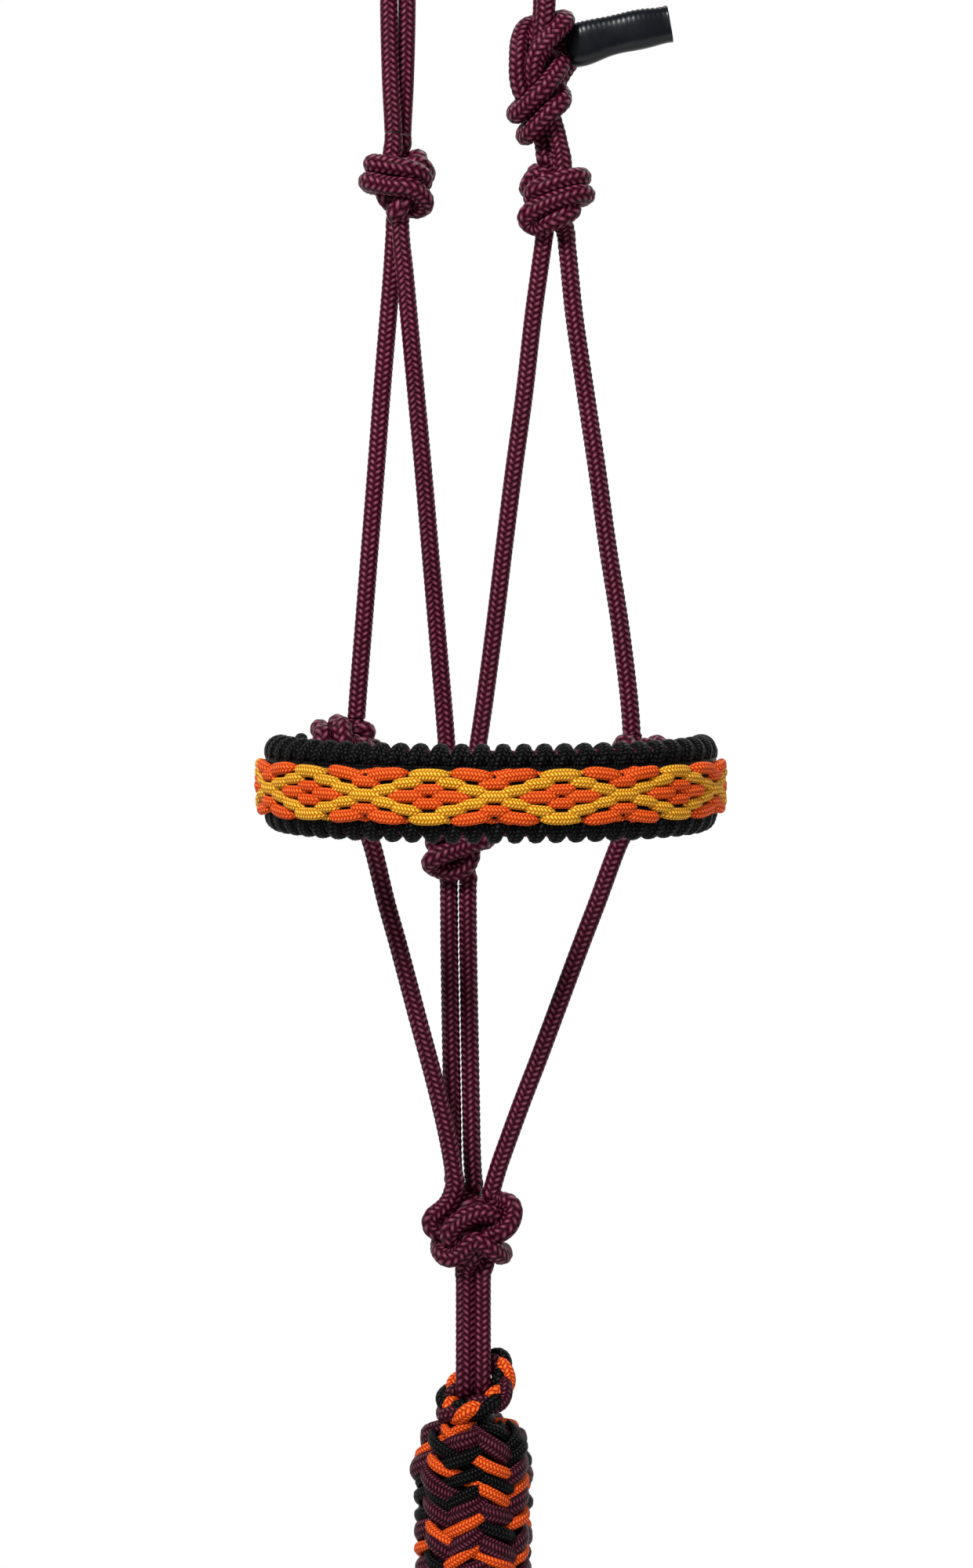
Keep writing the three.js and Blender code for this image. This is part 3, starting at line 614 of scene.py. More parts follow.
STRAP_ENDS = {  # heights where each of them leaves the knot above it and enters the one below it
    "left_cheek_strap": (CHEEK_LEFT[2] - KNOT_REACH, NOSE_LEFT[2] + NOSE_REACH),
    "left_throat_strap": (CHEEK_LEFT[2] - KNOT_REACH, THROAT[2] + KNOT_REACH),
    "right_throat_strap": (CHEEK_RIGHT[2] - KNOT_REACH, THROAT[2] + KNOT_REACH),
    "right_cheek_strap": (CHEEK_RIGHT[2] - KNOT_REACH, NOSE_RIGHT[2] + NOSE_REACH),
    "throat_drop_left": (THROAT[2] - KNOT_REACH, CHIN[2] + 20),
    "throat_drop_right": (THROAT[2] - KNOT_REACH, CHIN[2] + 18),
    "left_chin_strap": (NOSE_LEFT[2] - NOSE_REACH, CHIN[2] + 20),
    "right_chin_strap": (NOSE_RIGHT[2] - NOSE_REACH, CHIN[2] + 16),
}


def crown_route(left, right_x):
    """One strand of the crown, from the left cheek knot over the poll to the tie."""
    x, y = left
    side = math.copysign(1, y)
    lean = -CROWN_RADIUS - x
    arch_y = side * STRAND_OFFSET
    inward = 0.5 * (x - CHEEK_LEFT[0])
    points = [(x - 1.1 * inward, 2.9 * side, -240), (x - inward, 2.8 * side, -224),
              (x - 0.4 * inward, 2.2 * side, -205), (x, y, -175),
              (x + 0.25 * lean, y + 0.8 * side, -140),
              (x + 0.65 * lean, y + 1.7 * side, -110), (-CROWN_RADIUS, arch_y, -80)]
    centre_z = -0.5 * ROPE / MM - CROWN_RADIUS
    points += [(x, arch_y, centre_z + z) for x, z in on_circle(CROWN_RADIUS, range(180, -1, -30))]
    points += [(CROWN_RADIUS, arch_y, -80), (right_x, arch_y, -130), (right_x, arch_y, -200)]
    return smooth(points, 0.5)


def crown_part(route):
    """The crown from where it leaves the tie, over the poll and down to the left cheek knot."""
    start = np.argmax(route[:, 2] > CHEEK_LEFT[2] + KNOT_REACH)
    last = np.nonzero((route[:, 0] > 0) & (route[:, 2] > TIE_TOP))[0][-1]
    return route[start:last + 1][::-1]


def tie_strands():
    """The crown's pair goes round the loop's neck and out to the tail: a doubled sheet bend."""
    front_x, back_x = CROWN_RIGHT_X
    front = [(front_x, -STRAND_OFFSET, TIE_TOP), (front_x, -STRAND_OFFSET, -176), (24.5, -3, -186),
             (23.5, 0, -195), (25.5, 3, -204), (29.5, 3, -209), (31.2, -1.5, -211.5), (26.5, -7.5, -217.5),
             (20.2, -4.5, -223.8), (18.8, 3, -224.5), (21, 7.5, -219), (26, 8, -210), (30, 6.5, -202.5),
             (33, 4.6, -197.2), (36.5, 3.8, -195.6), (40, 3.5, -194.5)]
    back = [(back_x, STRAND_OFFSET, TIE_TOP), (back_x, STRAND_OFFSET, -176), (23.5, 3, -186),
            (22.5, 3, -195), (25, 3.5, -199), (29.5, 1, -198.5), (30.5, -4, -201), (25, -8, -208),
            (18.2, -5, -215.3), (16.4, 2, -216.5), (18.4, 7, -212), (23, 9, -204), (28.5, 8, -195.5),
            (33, 5, -191), (36.5, 3.9, -189.4), (40, 3.5, -188.3)]
    loop = [(30.9, -2.6, -240), (30.9, -2.6, -234), (27.5, -1, -222), (23, -2, -213),
            (19.8, -5.5, -204), (22, -8.5, -197), (28, -8, -190.5), (32, -3.5, -185.5), (31, 3, -184),
            (25, 7.5, -184.5), (19.2, 5, -186), (15.9, 0.5, -191.5), (15.8, -3, -200), (17.8, -1.5, -210),
            (21.5, 2.5, -219), (25.3, 2.6, -234), (25.3, 2.6, -240)]
    return relaxed([smooth(s, KNOT_SPACING) for s in (front, back, loop)])


def chin_strands(ends):
    """Four strands go in at the top and four come out below, hooked through each other."""
    chin_left, chin_right, drop_left, drop_right = ends
    routes = [
        [*chin_left, (-9, -4, 8.5), (-13.4, -3.5, 6), (-14.6, -3, 1.2), (-11, -2, -1.8), (-4, 0, -2),
         (3.4, -1, -4)],
        [*chin_right, (7.2, -4, 10.5), (10.4, -5, 10.2), (12.8, -7, 7.2), (12.4, -8.5, 3.4), (9.2, -9, 1),
         (5, -6.5, -0.2), (0, -4, -3)],
        [*drop_left, (-2, 3, 10), (6.5, 1.5, 8.8), (10, -3.5, 8.3), (5, -8.6, 8.2), (-0.5, -10, 7),
         (-6, -10.6, 4), (-9.4, -9.8, 0.2), (-8, -7.8, -3), (-3, -3, -3.4), (-1, 2.5, -6)],
        [*drop_right, (-4, 6.5, 6), (-8.5, 4, 0), (-11, -2, -4), (-10.4, -7.2, -7.6), (-6.6, -9.8, -9.4),
         (-3.4, -10, -6.6), (-0.8, -10.8, -2.6), (2, -11.6, -0.6), (4.8, -11.4, -3), (7.4, -9.6, -6.4),
         (9.8, -6, -8.2), (10.4, 0, -7.4), (7.5, 4.5, -6)],
    ]
    for route, (side, back) in zip(routes, ((1, -1), (-1, -1), (-1, 1), (1, 1))):
        route += [(side * LOOP_OFFSET, 3.4 * back, -12), (side * LOOP_OFFSET, 3.5 * back, -17)]
    return relaxed([smooth(r, KNOT_SPACING) for r in routes])


def chin_knot(routes):
    ends = []
    for name in ("left_chin_strap", "right_chin_strap", "throat_drop_left", "throat_drop_right"):
        top = STRAP_ENDS[name][1]
        ends.append([[*at_height(routes[name], z), z] - CHIN for z in (top, top - 3)])
    return [s + CHIN for s in chin_strands(ends)]


def lead_loop(x):
    """From the front leg down round the bight and up the back leg."""
    front = [(x, -3.5, LOOP_TOP), (x, -4.6, -628), (x, -6.6, -640)]
    turn = [(x, y, BIGHT_CENTRE_Z + z) for y, z in on_circle(BIGHT_RADIUS, range(180, 361, 30))]
    back = [(px, -y, z) for px, y, z in reversed(front)]
    return smooth(front + turn + back, 0.5)


def nose_knot(centre, strap_x, side):
    """A doubled overhand along the noseband's hinge line. One strand comes in from the cheek strap
    and one goes out to the chin strap; both leave towards the band."""
    ends = [[(0, y, 16), (0, y, 12)] for y in (3.1, -3.1)]
    mirrored = [[(x, y, -z) for x, y, z in end[::-1]] for end in ends]
    strap_x = strap_x - centre[0]
    strands = []
    for up, strand in zip((1, -1), doubled_overhand(ends, mirrored, side)):
        x, y, z = strand.T
        turned = np.stack([z * side * NOSE_SQUASH, y, x], axis=1)
        turned = turned[turned[:, 0] * side < NOSE_CUT]
        entry = [(strap_x, 0, 15 * up), (strap_x, 0.4 * up, 11 * up), (strap_x * 1.12, 1.5 * up, 6 * up)]
        strands.append(smooth(np.concatenate([entry, turned]), KNOT_SPACING))
    return [s + centre for s in relaxed(strands, rounds=40)]


def side_knot(centre, ins, outs, side, wide=0.88, tall=KNOT_TALL, start=0.0):
    """A cheek or throat knot, between the routes that run into its top and out of its foot."""
    high, low = centre[2] + KNOT_REACH, centre[2] - KNOT_REACH
    ins = [[[*at_height(r, z), z] - centre for z in (high, high - 3)] for r in ins]
    outs = [[[*at_height(r, z), z] - centre for z in (low + 3, low)] for r in outs]
    return [s + centre for s in relaxed(doubled_overhand(ins, outs, side, wide, tall, start))]


TAIL_START = 31  # x where the tail begins to follow the sleeve, in millimetres


def split_off_tail(strand):
    """The part of a strand in the tie, and the tail that goes on from it, from its cut end back."""
    split = np.nonzero(strand[:, 0] < TAIL_START)[0][-1]
    x, y, z = strand[-1]
    rest = [(x + 8, y, z + 2), (x + 18, y, z + 4.1), (x + 27.2, y, z + 5.9)]
    return strand[:split + 1], np.concatenate([strand[split:], rest])[::-1]


ROPE_RELIEF = (ROPE_COLUMNS, ROPE_PITCH, 0.45 * MM)
ROPE_OVER_YARNS = 3.2 * MM  # radius to the tops of its yarns
KNOT_SWELL, KNOT_TAPER = 0.25 * MM, 5 * MM  # the rope is fatter in a knot, where it is bent
ROPE_SIDES = 36
ROPE_STEP = 0.32 * MM
weaves = {}  # the pieces that lay() adds rope to, by name


def lay(*parts):
    """Lays one rope through (piece name, line in millimetres), with its braid unbroken."""
    normal, reached = None, 0.0
    for name, line in parts:
        fine = smooth(mm(resampled(line, KNOT_SPACING)), ROPE_STEP)
        along = np.arange(len(fine)) * ROPE_STEP
        swollen = np.clip(np.minimum(along, along[-1] - along) / KNOT_TAPER, 0, 1) * name.endswith("knot")
        normal, reached = weaves.setdefault(name, Weave()).tube(
            fine, ROPE_OVER_YARNS + KNOT_SWELL * swollen, sides=ROPE_SIDES, relief=ROPE_RELIEF, v0=reached,
            first=normal)


def halter_ropes():
    routes = {name: smooth(points, 0.5) for name, points in ROUTES.items()}
    crown_front, crown_back = (crown_route(left, x) for left, x in zip(CROWN_LEFT, CROWN_RIGHT_X))
    tie_front, tie_back, tie_loop = tie_strands()
    crown_ends = [crown_front[: len(crown_front) // 3], crown_back[: len(crown_back) // 3]]
    loop_legs = [tie_loop[: len(tie_loop) // 3], tie_loop[-len(tie_loop) // 3:]]
    neck_z = CHEEK_RIGHT[2] + KNOT_REACH
    neck = [[*at_height(leg, neck_z), neck_z] for leg in loop_legs]
    tie_loop = np.concatenate([neck[:1], tie_loop[tie_loop[:, 2] > neck_z], neck[1:]])

    left = side_knot(CHEEK_LEFT, crown_ends, [routes["left_throat_strap"], routes["left_cheek_strap"]],
                     1, 0.96, 0.8, 2.6)
    right = side_knot(CHEEK_RIGHT, loop_legs,
                      [routes["right_cheek_strap"], routes["right_throat_strap"]], -1)
    throat = side_knot(THROAT, [routes["left_throat_strap"], routes["right_throat_strap"]],
                       [routes["throat_drop_left"], routes["throat_drop_right"]], -1)
    nose_left = nose_knot(NOSE_LEFT, routes["left_cheek_strap"][-1, 0], -1)
    nose_right = nose_knot(NOSE_RIGHT, routes["right_cheek_strap"][-1, 0], 1)
    chin = chin_knot(routes)
    tie_front, tail_lower = split_off_tail(tie_front)
    tie_back, tail_upper = split_off_tail(tie_back)

    def strap(name, upwards=False):
        line = between(routes[name], *STRAP_ENDS[name])
        return name, line[::-1] if upwards else line

    lay(("tail_strand_lower", tail_lower), ("crown_tie_knot", tie_front[::-1]),
        ("crown_strand_front", crown_part(crown_front)), ("left_cheek_knot", left[0]),
        strap("left_throat_strap"), ("throat_knot", throat[0]), strap("throat_drop_left"),
        ("chin_knot", chin[2]))
    lay(("tail_strand_upper", tail_upper), ("crown_tie_knot", tie_back[::-1]),
        ("crown_strand_back", crown_part(crown_back)), ("left_cheek_knot", left[1]),
        strap("left_cheek_strap"), ("left_nose_knot", nose_left[0]))
    lay(("left_nose_knot", nose_left[1][::-1]), strap("left_chin_strap"), ("chin_knot", chin[0]),
        ("lead_loop_right", lead_loop(LOOP_OFFSET)), ("chin_knot", chin[3][::-1]),
        strap("throat_drop_right", True), ("throat_knot", throat[1][::-1]),
        strap("right_throat_strap", True), ("right_cheek_knot", right[1][::-1]))
    lay(("right_nose_knot", nose_right[1][::-1]), strap("right_chin_strap"), ("chin_knot", chin[1]),
        ("lead_loop_left", lead_loop(-LOOP_OFFSET)))
    lay(("right_nose_knot", nose_right[0][::-1]), strap("right_cheek_strap", True),
        ("right_cheek_knot", right[0][::-1]), ("crown_tie_knot", tie_loop))


KNOT_HEARTS = (  # piece, middle, half width and half depth, and height
    ("chin_knot", CHIN + [-1, -1.5, 1], (12, 5), 21),
    ("crown_tie_knot", np.array([22.5, 1, -203]), (5, 4), 34),
    ("left_cheek_knot", CHEEK_LEFT, (6.5, 6), 13),
    ("left_cheek_knot", CHEEK_LEFT + [6, 1, 4], (4.5, 5), 9),
    ("right_cheek_knot", CHEEK_RIGHT, (6.5, 6), 13),
    ("right_cheek_knot", CHEEK_RIGHT + [6, 1, 5], (4.5, 5), 8),
    ("throat_knot", THROAT, (5.5, 6), 13),
)


def knot_heart(name, centre, radii, length):
    """The ropes inside a knot, which no one sees, as one dark heart that closes its gaps."""
    height = np.linspace(-length / 2, length / 2, 9)
    line = centre + height[:, None] * np.array([0, 0, 1])
    round_off = np.sqrt(1 - 0.8 * (2 * height / length) ** 2)
    weaves[name].tube(mm(line), radii[0] * MM * round_off, radii[1] * MM * round_off, 24,
                      np.tile([0.0, 1.0, 0.0], (len(line), 1)))


def finished(weave, name, material, body, slot, *nodes):
    """Makes a piece's mesh, which stands for its CAD nodes and moves with its body, if one is named."""
    piece = weave.made(name, material)
    if body:
        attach(piece, body)
    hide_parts(*nodes)
    return piece


def halter():
    """Every strand and knot of the halter. The tail's strands get no body, and their place is baked into
    their meshes.
    """
    halter_ropes()
    for heart in KNOT_HEARTS:
        knot_heart(*heart)
    for name, weave in weaves.items():
        tail = name.startswith("tail_strand")
        nodes = [name]
        if name == "crown_tie_knot":
            nodes += ["tie_loop_strand_back", "tie_loop_strand_front"]
        piece = finished(weave, f"{name}_rope", MAROON, None if tail else "halter", "maroon_braid", *nodes)
        if tail:
            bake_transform(piece)


halter()


# ---- rubber sleeve on the tail ----
SLEEVE_HALF_HEIGHT, SLEEVE_HALF_DEPTH, SLEEVE_WALL = 7.0, 4.5, 1.1  # millimetres
SLEEVE_SQUARENESS = 0.85  # 1 is an oval, and less than 1 has flatter sides
SLEEVE_STEP = 0.5
INSIDE_ROWS = 16  # rings of its inner side, at the open end


def tail_sleeve():
    """An oval tube shrunk round the two ends. The ropes' yarns show through as faint ribs."""
    route = smooth([(32.6, 4.4, -193.4), (37, 4, -192.6), (45, 3.4, -190.3), (56, 3, -187.9),
                    (67.8, 3, -185.8)], SLEEVE_STEP)
    along = np.arange(len(route)) * SLEEVE_STEP
    across = normalised(np.cross(tangents_of(route), (0, 1, 0)))
    angle = full_turn(56)
    waist = 1 - 0.07 * np.abs(np.sin(angle)) ** 6
    on_top = np.clip(-np.cos(angle), 0, 1) ** 2
    ribs = 0.16 * on_top * np.sin(2 * math.pi * along[:, None] / 1.7) + 0.25 * np.sin(0.3 * along)[:, None]
    lip = 0.35 * np.exp(-(along[-1] - along) / 1.2)[:, None] - 0.5 * np.exp(-along / 1.5)[:, None]

    def ring(inset, rib):
        taper = 0.55 - 1.3 * along[:, None] / along[-1]
        high = SLEEVE_HALF_HEIGHT - inset + taper + lip + rib * ribs
        deep = (SLEEVE_HALF_DEPTH - inset + lip + rib * ribs) * waist
        up = high * np.sign(np.cos(angle)) * np.abs(np.cos(angle)) ** SLEEVE_SQUARENESS
        side = deep * np.sign(np.sin(angle)) * np.abs(np.sin(angle)) ** SLEEVE_SQUARENESS
        return route[:, None] - up[..., None] * across[:, None] + side[..., None] * np.array([0, 1, 0])

    inside = ring(SLEEVE_WALL, 0)[::-1][:INSIDE_ROWS]
    rings = np.concatenate([ring(0, 1), inside]) * MM
    weave = Weave()
    weave.grid(rings, angle / (2 * math.pi), np.arange(len(rings) + 1) * SLEEVE_STEP * MM, False)
    finished(weave, "tail_sleeve_rubber", RUBBER, "tail", "rubber_sleeve", "tail_sleeve")


tail_sleeve()


# ---- noseband ----
BAND_CENTRE = (6, -24)  # x and y of the ellipse that the band's front follows, in millimetres
BAND_HALF_WIDTH, BAND_DEPTH = 71.5, 52
BAND_SIDE_Z, BAND_FRONT_DROP = -447.1, 4.1
BAND_HALF_SPACING, BAND_END_HALF_SPACING = 11, 5.5
HITCH_PITCH = 6.8  # along the band, from one row's stitches to the next row's, and from hitch to hitch
ROW_SPACING = 2.22
ROWS = 7
ROWS_DROP = 1.1  # the middle row lies this far below the middle between the ropes
ROWS_START = 2  # from the band's centre to the first crossing of the yellow cords
STITCH_LONG = (6.5, 2.15)  # half length and half width of a stitch in the outer and the middle rows
STITCH_SHORT = (5.0, 1.9)
STITCH_SLOPE = 7.5  # degrees, of a stitch that follows a diagonal
FRONT_OUT, BACK_OUT, STITCH_DIVE = 6.9, 3.6, 2.6  # a stitch's place outward, and how deep its ends go
FLAT_CORD = 1.75  # half the thickness of the band's flattened cords
LACING_GAP = 13  # from an end of the band to its lacing
NARROW_FROM, NARROW_LENGTH = 26, 23  # the band narrows over this length, from this far before its ends
HITCH_TURNS = ((3.05, 2.1, -24), (3.75, 2.5, 22))  # radius, half width of the cord, and tilt in degrees
LENGTHWISE_CORDS = ((-5.2, 5.2), (-1.8, 5.2), (1.8, 5.2), (5.2, 5.2), (8.2, 3.6))  # rise and place outward
ARM_START = 12  # the band's ropes come out this far from the middle of a nose knot
LINE_STEP = 0.25
CORD_RELIEF = (CORD_COLUMNS, CORD_PITCH, 0.25 * MM)
scatter = np.random.default_rng(7)


class Band:
    """Lines that follow the noseband. s is the distance along it from its centre."""

    def __init__(self):
        front = []
        for x, y in on_circle(1, range(180, -1, -15)):
            front.append((BAND_CENTRE[0] + BAND_HALF_WIDTH * x, BAND_CENTRE[1] - BAND_DEPTH * y,
                          BAND_SIDE_Z - BAND_FRONT_DROP * y))
        points = self.arm(NOSE_LEFT, -1) + front + self.arm(NOSE_RIGHT, 1)[::-1]
        self.line = smooth(points, LINE_STEP)
        tangents = tangents_of(self.line)
        self.outward = normalised(np.stack([tangents[:, 1], -tangents[:, 0], 0 * tangents[:, 2]], 1))
        self.half = 0.5 * LINE_STEP * (len(self.line) - 1)
        self.s = np.linspace(-self.half, self.half, len(self.line))

    def arm(self, knot, side):
        """The stretch from a nose knot to the side of the ellipse."""
        x, y, z = knot
        drop = BAND_SIDE_Z - z
        return [(x + side * ARM_START, y, z), (x + side * (ARM_START + 2.6), y - 0.9, z + 0.1 * drop),
                (BAND_CENTRE[0] + side * (BAND_HALF_WIDTH - 2.4), -11.4, z + 0.4 * drop),
                (BAND_CENTRE[0] + side * (BAND_HALF_WIDTH - 0.3), -17.5, z + 0.8 * drop)]

    def squeeze(self, s):
        """The band's width as a share of its full width: it narrows towards its ends."""
        t = np.clip((np.abs(s) - (self.half - NARROW_FROM)) / NARROW_LENGTH, 0, 1)
        return 1 + (BAND_END_HALF_SPACING / BAND_HALF_SPACING - 1) * t * t * (3 - 2 * t)

    def outward_at(self, s):
        return normalised(looked_up(s, self.s, self.outward))

    def at(self, s, rise, out):
        points = looked_up(s, self.s, self.line) + np.reshape(out, (-1, 1)) * self.outward_at(s)
        points[:, 2] += rise * self.squeeze(s)
        return points


def stitch(weave, band, s, row, slope, front):
    """One stitch of cord: fat in the middle, with ends that dive under the stitches beside it."""
    t = np.linspace(-1, 1, 31)
    from_middle = (ROWS + 1) / 2 - row
    outer_row = abs(from_middle) == (ROWS - 1) / 2
    reach, wide = STITCH_LONG if outer_row or from_middle == 0 else STITCH_SHORT
    arch = 0.5 * np.sign(from_middle) * outer_row * (1 - t * t)
    tilt = math.tan(math.radians(STITCH_SLOPE * slope + scatter.uniform(-2, 2)))
    along = s + scatter.uniform(-0.3, 0.3) + t * reach
    rise = from_middle * ROW_SPACING - ROWS_DROP + t * reach * tilt + arch + scatter.uniform(-0.15, 0.15)
    depth = scatter.uniform(-0.25, 0.25) - STITCH_DIVE * t ** 4
    out = FRONT_OUT + depth if front else BACK_OUT - depth
    shape = np.sqrt(1 - 0.9 * t ** 4)
    line = band.at(along, rise, out)
    relief = (CORD_COLUMNS, CORD_PITCH, 0.22 * MM)
    weave.tube(mm(line), wide * MM * shape, FLAT_CORD * MM * shape, 20, band.outward_at(along),
               relief=relief)


def stitches(band):
    """Two yellow cords cross the orange ones in a row of diamonds, in front and behind."""
    orange, yellow = Weave(), Weave()
    reach = int((band.half - LACING_GAP) / HITCH_PITCH)
    middle_row = (ROWS + 1) // 2
    for row in range(1, ROWS + 1):
        for place in range(-reach, reach + 1):
            if (place - row) % 2:
                continue
            wave = (place + 3) % 6 - 3
            weave = yellow if abs(wave) == abs(row - middle_row) else orange
            slope = 0
            if wave not in (0, -3) and row != middle_row:
                slope = math.copysign(1, wave) * math.copysign(1, middle_row - row)
            s = ROWS_START + place * HITCH_PITCH
            stitch(weave, band, s, row, slope, True)
            stitch(weave, band, s + HITCH_PITCH, row, -slope, False)
    orange_nodes = [f"orange_lacing_cord_{i}" for i in (1, 2, 3, 4)]
    yellow_nodes = [f"yellow_lacing_cord_{i}" for i in (1, 2)]
    finished(orange, "orange_lacing", ORANGE, "noseband", "orange_cord", *orange_nodes)
    finished(yellow, "yellow_lacing", YELLOW, "noseband", "yellow_cord", *yellow_nodes)


def hitching(band, name, side):
    """Black cord hitched round a rope of the band: two turns a hitch, crossed like a herringbone."""
    weave = Weave()
    angle = full_turn(44)
    relief = (CORD_COLUMNS, CORD_PITCH, 0.3 * MM)
    turns = int(2 * (band.half - 2) / (HITCH_PITCH / 2))
    for i in range(turns + 1):
        radius, wide, tilt = HITCH_TURNS[i % 2]
        middle = (i - turns / 2) * HITCH_PITCH / 2
        s = np.clip(middle + math.tan(math.radians(tilt)) * radius * np.sin(angle), -band.half, band.half)
        line = band.at(s, side * BAND_HALF_SPACING, radius * np.cos(angle))
        line[:, 2] += radius * np.sin(angle)
        upright = np.sin(angle)[:, None] * np.array([0, 0, 1])
        normals = np.cos(angle)[:, None] * band.outward_at(s) + upright
        weave.tube(mm(line), wide * MM, FLAT_CORD * MM, 20, normals, closed=True, relief=relief)
    if side > 0:
        # The lacing goes round lengthwise cords of black, which close the gaps between its stitches and
        # show there as dark spots of painted shade.
        s = np.linspace(-band.half + 6, band.half - 6, 200)
        for rise, out in LENGTHWISE_CORDS:
            weave.tube(mm(band.at(s, rise - ROWS_DROP, out)), 2 * MM, 1.5 * MM, 12, band.outward_at(s))
    finished(weave, f"{name}_hitching", BLACK, "noseband", "black_cord", name)


def noseband():
    band = Band()
    stitches(band)
    for place, side in (("upper", 1), ("lower", -1)):
        hitching(band, f"noseband_edge_{place}", side)
        s = np.linspace(-band.half, band.half, 240)
        rope = f"noseband_rope_{place}"
        lay((rope, band.at(s, side * BAND_HALF_SPACING, 0)))
        finished(weaves[rope], f"{rope}_braid", MAROON, "noseband", "maroon_braid", rope)


noseband()


# ---- lead: eye and cover ----
PLAIT_PERIODS = 3
COVER_CORDS = 10  # running each way round the cover
COVER_SLOPE = 28  # degrees from the horizontal
COVER_PATTERN = "MKMOKOMKMO"  # its cords' kinds, in their order round the cover
COVER_KINDS = {"M": ("maroon", MAROON_CORD, 3.3),  # colour, material and half width of the flat cord
               "O": ("orange", ORANGE, 2.15),
               "K": ("black", BLACK, 2.3)}
COVER_RADIUS = 17
COVER_THICK = 1.85  # half the thickness of a cord
COVER_LIFT = 1.6  # a cord rises and dips by this much where it crosses others
COVER_STEP = 0.4
EYE_CORD, EYE_FLATNESS = 2.8, 0.93  # half width of the plait's cords, and their thickness as a share of it


def eye_neck(weave):
    """Where the plait's cords run into the cover: a black heart with two turns of cord round it."""
    neck = smooth([(0, -3.6, -663), (0, -3.2, -668), (0, -2, -674)], 0.5)
    weave.tube(mm(neck), 4.6 * MM, 5.2 * MM, 24)
    angle = full_turn(60)
    for radius, z in ((5.2, -666.4), (7.6, -669.6)):
        ring = radius * around_z(angle) + (0, -3.2, z)
        ring[:, 2] += 0.6 * np.sin(2 * angle)
        weave.tube(mm(ring), 2.4 * MM, sides=20, normals=around_z(angle), closed=True, relief=CORD_RELIEF)


def lead_eye():
    """A three-strand plait round a closed loop through the halter's two bights."""
    loop = smooth([(0, 0.4, 0), (5.4, 1.5, 2.2), (8.2, 0.5, 4.6), (9.7, -2.5, 1.8), (10, -7, -4.6),
                   (7, -10.4, -8.6), (0.5, -11.8, -10.6), (-4.6, -10.2, -12.2), (-8.4, -7, -12.8),
                   (-8.9, -3.2, -9.4), (-6.3, -0.7, -4.6)], 0.5, closed=True)[:-1]
    t = np.arange(len(loop)) / len(loop)
    tangents = tangents_of(loop, closed=True)
    outward = loop - loop.mean(axis=0)
    outward = normalised(outward - (outward * tangents).sum(1, keepdims=True) * tangents)
    sideways = np.cross(tangents, outward)
    tight = 1 - 0.3 * np.exp(-(np.linalg.norm(loop, axis=1) / 7) ** 2)[:, None]  # inside the bights
    strands = (("maroon", MAROON_CORD), ("orange", ORANGE), ("black", BLACK))
    for k, (colour, material) in enumerate(strands):
        phase = 2 * math.pi * (k / 3 + PLAIT_PERIODS * t + 0.1)
        swing = 1.9 * np.sin(phase)[:, None] * outward + 1.1 * np.sin(2 * phase)[:, None] * sideways
        line = loop + tight * swing
        wide = EYE_CORD * MM * tight[:, 0]
        weave = Weave()
        weave.tube(mm(line + [0, 0, BIGHT_CENTRE_Z]), wide, EYE_FLATNESS * wide, 20, outward, closed=True,
                   relief=CORD_RELIEF)
        if colour == "black":
            eye_neck(weave)
        finished(weave, f"lead_eye_{colour}", material, "lead", "lead_braid", "lead_eye")


def cover_profile():
    """Radius and z of the cover's cords, from its neck to the round nose at its lower end."""
    corners = [(6, 0, -667.5), (12, 0, -669.5), (16, 0, -674.5), (COVER_RADIUS, 0, -682),
               (COVER_RADIUS, 0, -706), (COVER_RADIUS, 0, -730), (14.6, 0, -738), (10.8, 0, -743.5),
               (9.8, 0, -747.5), (8.2, 0, -751.5), (5.4, 0, -754.2)]
    return smooth(corners, COVER_STEP)[:, [0, 2]]


def cover_cord(weave, radius, z, way, k, wide):
    """The cord that starts at place k of the neck and turns round the cover one way or the other."""
    s = np.arange(len(radius)) * COVER_STEP
    turning = 1 / (math.tan(math.radians(COVER_SLOPE)) * COVER_RADIUS)  # radians per millimetre of profile
    angle = 2 * math.pi * k / COVER_CORDS + way * turning * s
    step = COVER_CORDS * turning * s / math.pi
    lift = way * COVER_LIFT * np.cos(math.pi / 2 * (2 * k + way * step - 0.5))  # two over and two under
    slim = np.clip(radius / 15, 0.45, 1)
    first, second = scatter.uniform(0, 2 * math.pi, 2)
    wobble = 1.3 * np.sin(0.23 * s + first)
    angle = angle + 0.07 * np.sin(0.17 * s + second)
    bulge = 0.45 * np.sin(0.31 * s + second)
    from_side = np.arccos(np.clip(-np.cos(angle), -1, 1))
    bulge = bulge + 2.2 * np.exp(-((z + 683) / 4) ** 2 - (from_side / 0.5) ** 2)  # a hump on the left
    out = radius + (lift + bulge) * slim
    line = np.stack([out * np.cos(angle), out * np.sin(angle), z + wobble], 1)
    weave.tube(mm(line), wide * MM * slim, COVER_THICK * MM * slim, 20, around_z(angle), relief=CORD_RELIEF)


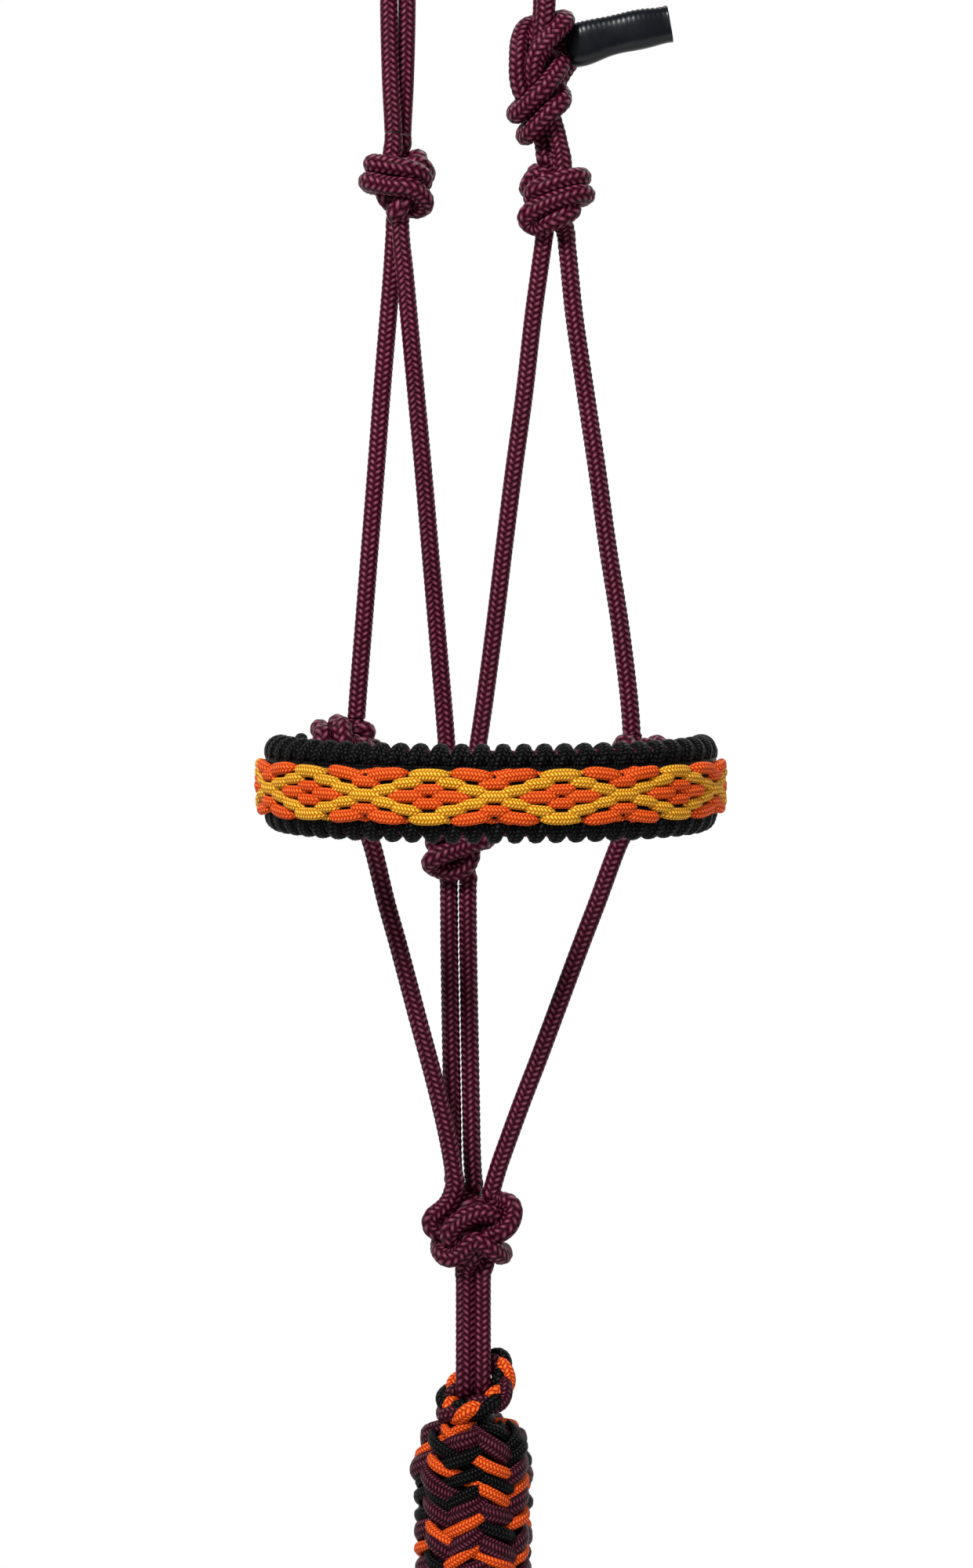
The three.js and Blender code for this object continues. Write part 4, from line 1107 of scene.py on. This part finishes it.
def lead_cover():
    """Cords that run both ways round the cover, each over two and under two of the others."""
    radius, z = cover_profile().T
    kinds = {kind: Weave() for kind in COVER_KINDS}
    for way in (1, -1):
        for k in range(COVER_CORDS):
            kind = COVER_PATTERN[(k if way == 1 else 3 * k + 1) % COVER_CORDS]
            cover_cord(kinds[kind], radius, z, way, k, COVER_KINDS[kind][2])
    core = mm(np.stack([0 * z, 0 * z, z], 1)[::4])
    kinds["K"].tube(core, (radius[::4] - 1.6) * MM, sides=32)
    for kind, weave in kinds.items():
        colour, material, _ = COVER_KINDS[kind]
        finished(weave, f"lead_cover_{colour}", material, "lead", "lead_braid", "lead_cover_knot")


lead_eye()
lead_cover()


# ---- lead rope, folded into a hank ----
LEAD_EXIT = (0, 0, -750)  # inside the cover's round nose, which hides the rope's cut end
FOLD_RADIUS = 26
FOLD_TOP_Z, FOLD_FOOT_Z = -816, -1041  # centres of the folds at the hank's ends
LAYER_PITCH = 15.4
LAYERS = 5
HANK_FRONT_Y = -LAYER_PITCH * (LAYERS - 1) / 2
LEAD_END_Z = -1092  # inside the end knot
TIE_TURNS, TIE_TOP_Z, TIE_HEIGHT = 4, -919.4, 18.2  # the tie's turns, and how far down they reach
TIE_CORD = 2.5  # its radius
END_TURN_RADIUS = 6.6
END_TURNS = ((-1080.5, 12), (-1088.5, -14), (-1096.5, 10))  # height and tilt in degrees


def lead_rope_route():
    points = [LEAD_EXIT, (0, 0, -761), (-0.5, -6, -767.5), (-3, -18, -774), (-8, -32, -782.5),
              (-14, -38, -793), (-21.5, -37, -806), (-25.5, -33.5, -820), (-26, -31, -836)]
    for layer in range(LAYERS):
        y = HANK_FRONT_Y + layer * LAYER_PITCH
        points += [(-FOLD_RADIUS, y, z) for z in (-865, -928, -1000, FOLD_FOOT_Z)]
        if layer == LAYERS - 1:
            break
        points += [(x, y, FOLD_FOOT_Z + z) for x, z in on_circle(FOLD_RADIUS, range(210, 331, 30))]
        points += [(FOLD_RADIUS, y, z) for z in (FOLD_FOOT_Z, -1000, -928, -865, FOLD_TOP_Z)]
        for step, (x, z) in enumerate(on_circle(FOLD_RADIUS, range(30, 181, 30)), 1):
            points.append((x, y + LAYER_PITCH * step / 6, FOLD_TOP_Z + z))
    points += [(-FOLD_RADIUS, y, -1068), (-FOLD_RADIUS, y, LEAD_END_Z)]
    return smooth(points, 1.6)


def hank_tie():
    """Four turns of cord round the hank's waist, and a turn round those in the hank's hollow."""
    reach = LEAD_ROPE / MM / 2 + 2.6
    back_y = -HANK_FRONT_Y
    # The turns go round a run at each corner. The back of the right stack has no last layer.
    corners = [(FOLD_RADIUS, HANK_FRONT_Y, (0, -30, -60, -90)),
               (-FOLD_RADIUS, HANK_FRONT_Y, (-90, -120, -150, -180)),
               (-FOLD_RADIUS, back_y, (180, 145, 110, 74)),
               (FOLD_RADIUS, back_y - LAYER_PITCH, (74, 50, 25, 0))]
    outline = []
    for x, y, degrees in corners:
        outline += [(x + across, y + deep) for across, deep in on_circle(reach, degrees)]
    count = TIE_TURNS * len(outline)
    points = []
    for k in range(count + 1):
        x, y = outline[k % len(outline)]
        points.append((x, y, TIE_TOP_Z - TIE_HEIGHT * k / count))
    weave = Weave()
    weave.tube(mm(smooth(points, 1.2)), TIE_CORD * MM, sides=16)
    angle = full_turn(40)
    lashing = np.stack([6 + 1.5 * np.sin(angle), HANK_FRONT_Y - reach + 4.9 * np.cos(angle),
                        TIE_TOP_Z - TIE_HEIGHT / 2 + 13 * np.sin(angle)], 1)
    weave.tube(mm(lashing), 2.3 * MM, sides=16, closed=True)
    return finished(weave, "hank_tie_cord", MAROON_CORD, "lead_rope", "maroon_braid", "hank_tie")


def end_knot():
    """The rope's end, laid back over itself in three turns."""
    weave = Weave()
    angle = full_turn(44)
    x, y = -FOLD_RADIUS, -HANK_FRONT_Y
    for z, tilt in END_TURNS:
        ring = END_TURN_RADIUS * around_z(angle) + (x, y, z)
        ring[:, 2] += END_TURN_RADIUS * math.tan(math.radians(tilt)) * np.cos(angle)
        weave.tube(mm(ring), 4.7 * MM, 4.9 * MM, 24, around_z(angle), closed=True)
    tip = smooth([(x, y, -1094), (x, y, -1099), (x, y, -1104.3)], 0.6)
    weave.tube(mm(tip), np.linspace(7.4, 6.4, len(tip)) * MM, sides=24)
    return finished(weave, "lead_end_knot_braid", LEAD, "lead_rope", "lead_braid", "lead_end_knot")


def lead_rope():
    route = mm(lead_rope_route())
    weave = Weave()
    _, length = weave.tube(route, LEAD_ROPE / 2, sides=32, relief=(LEAD_COLUMNS, LEAD_PITCH, 1.1 * MM))
    rope = finished(weave, "lead_rope_braid", LEAD, "lead_rope", "lead_braid",
                    "lead_rope_run", "lead_rope_hank")
    hank_tie()
    end_knot()
    return length


lead_length = lead_rope()
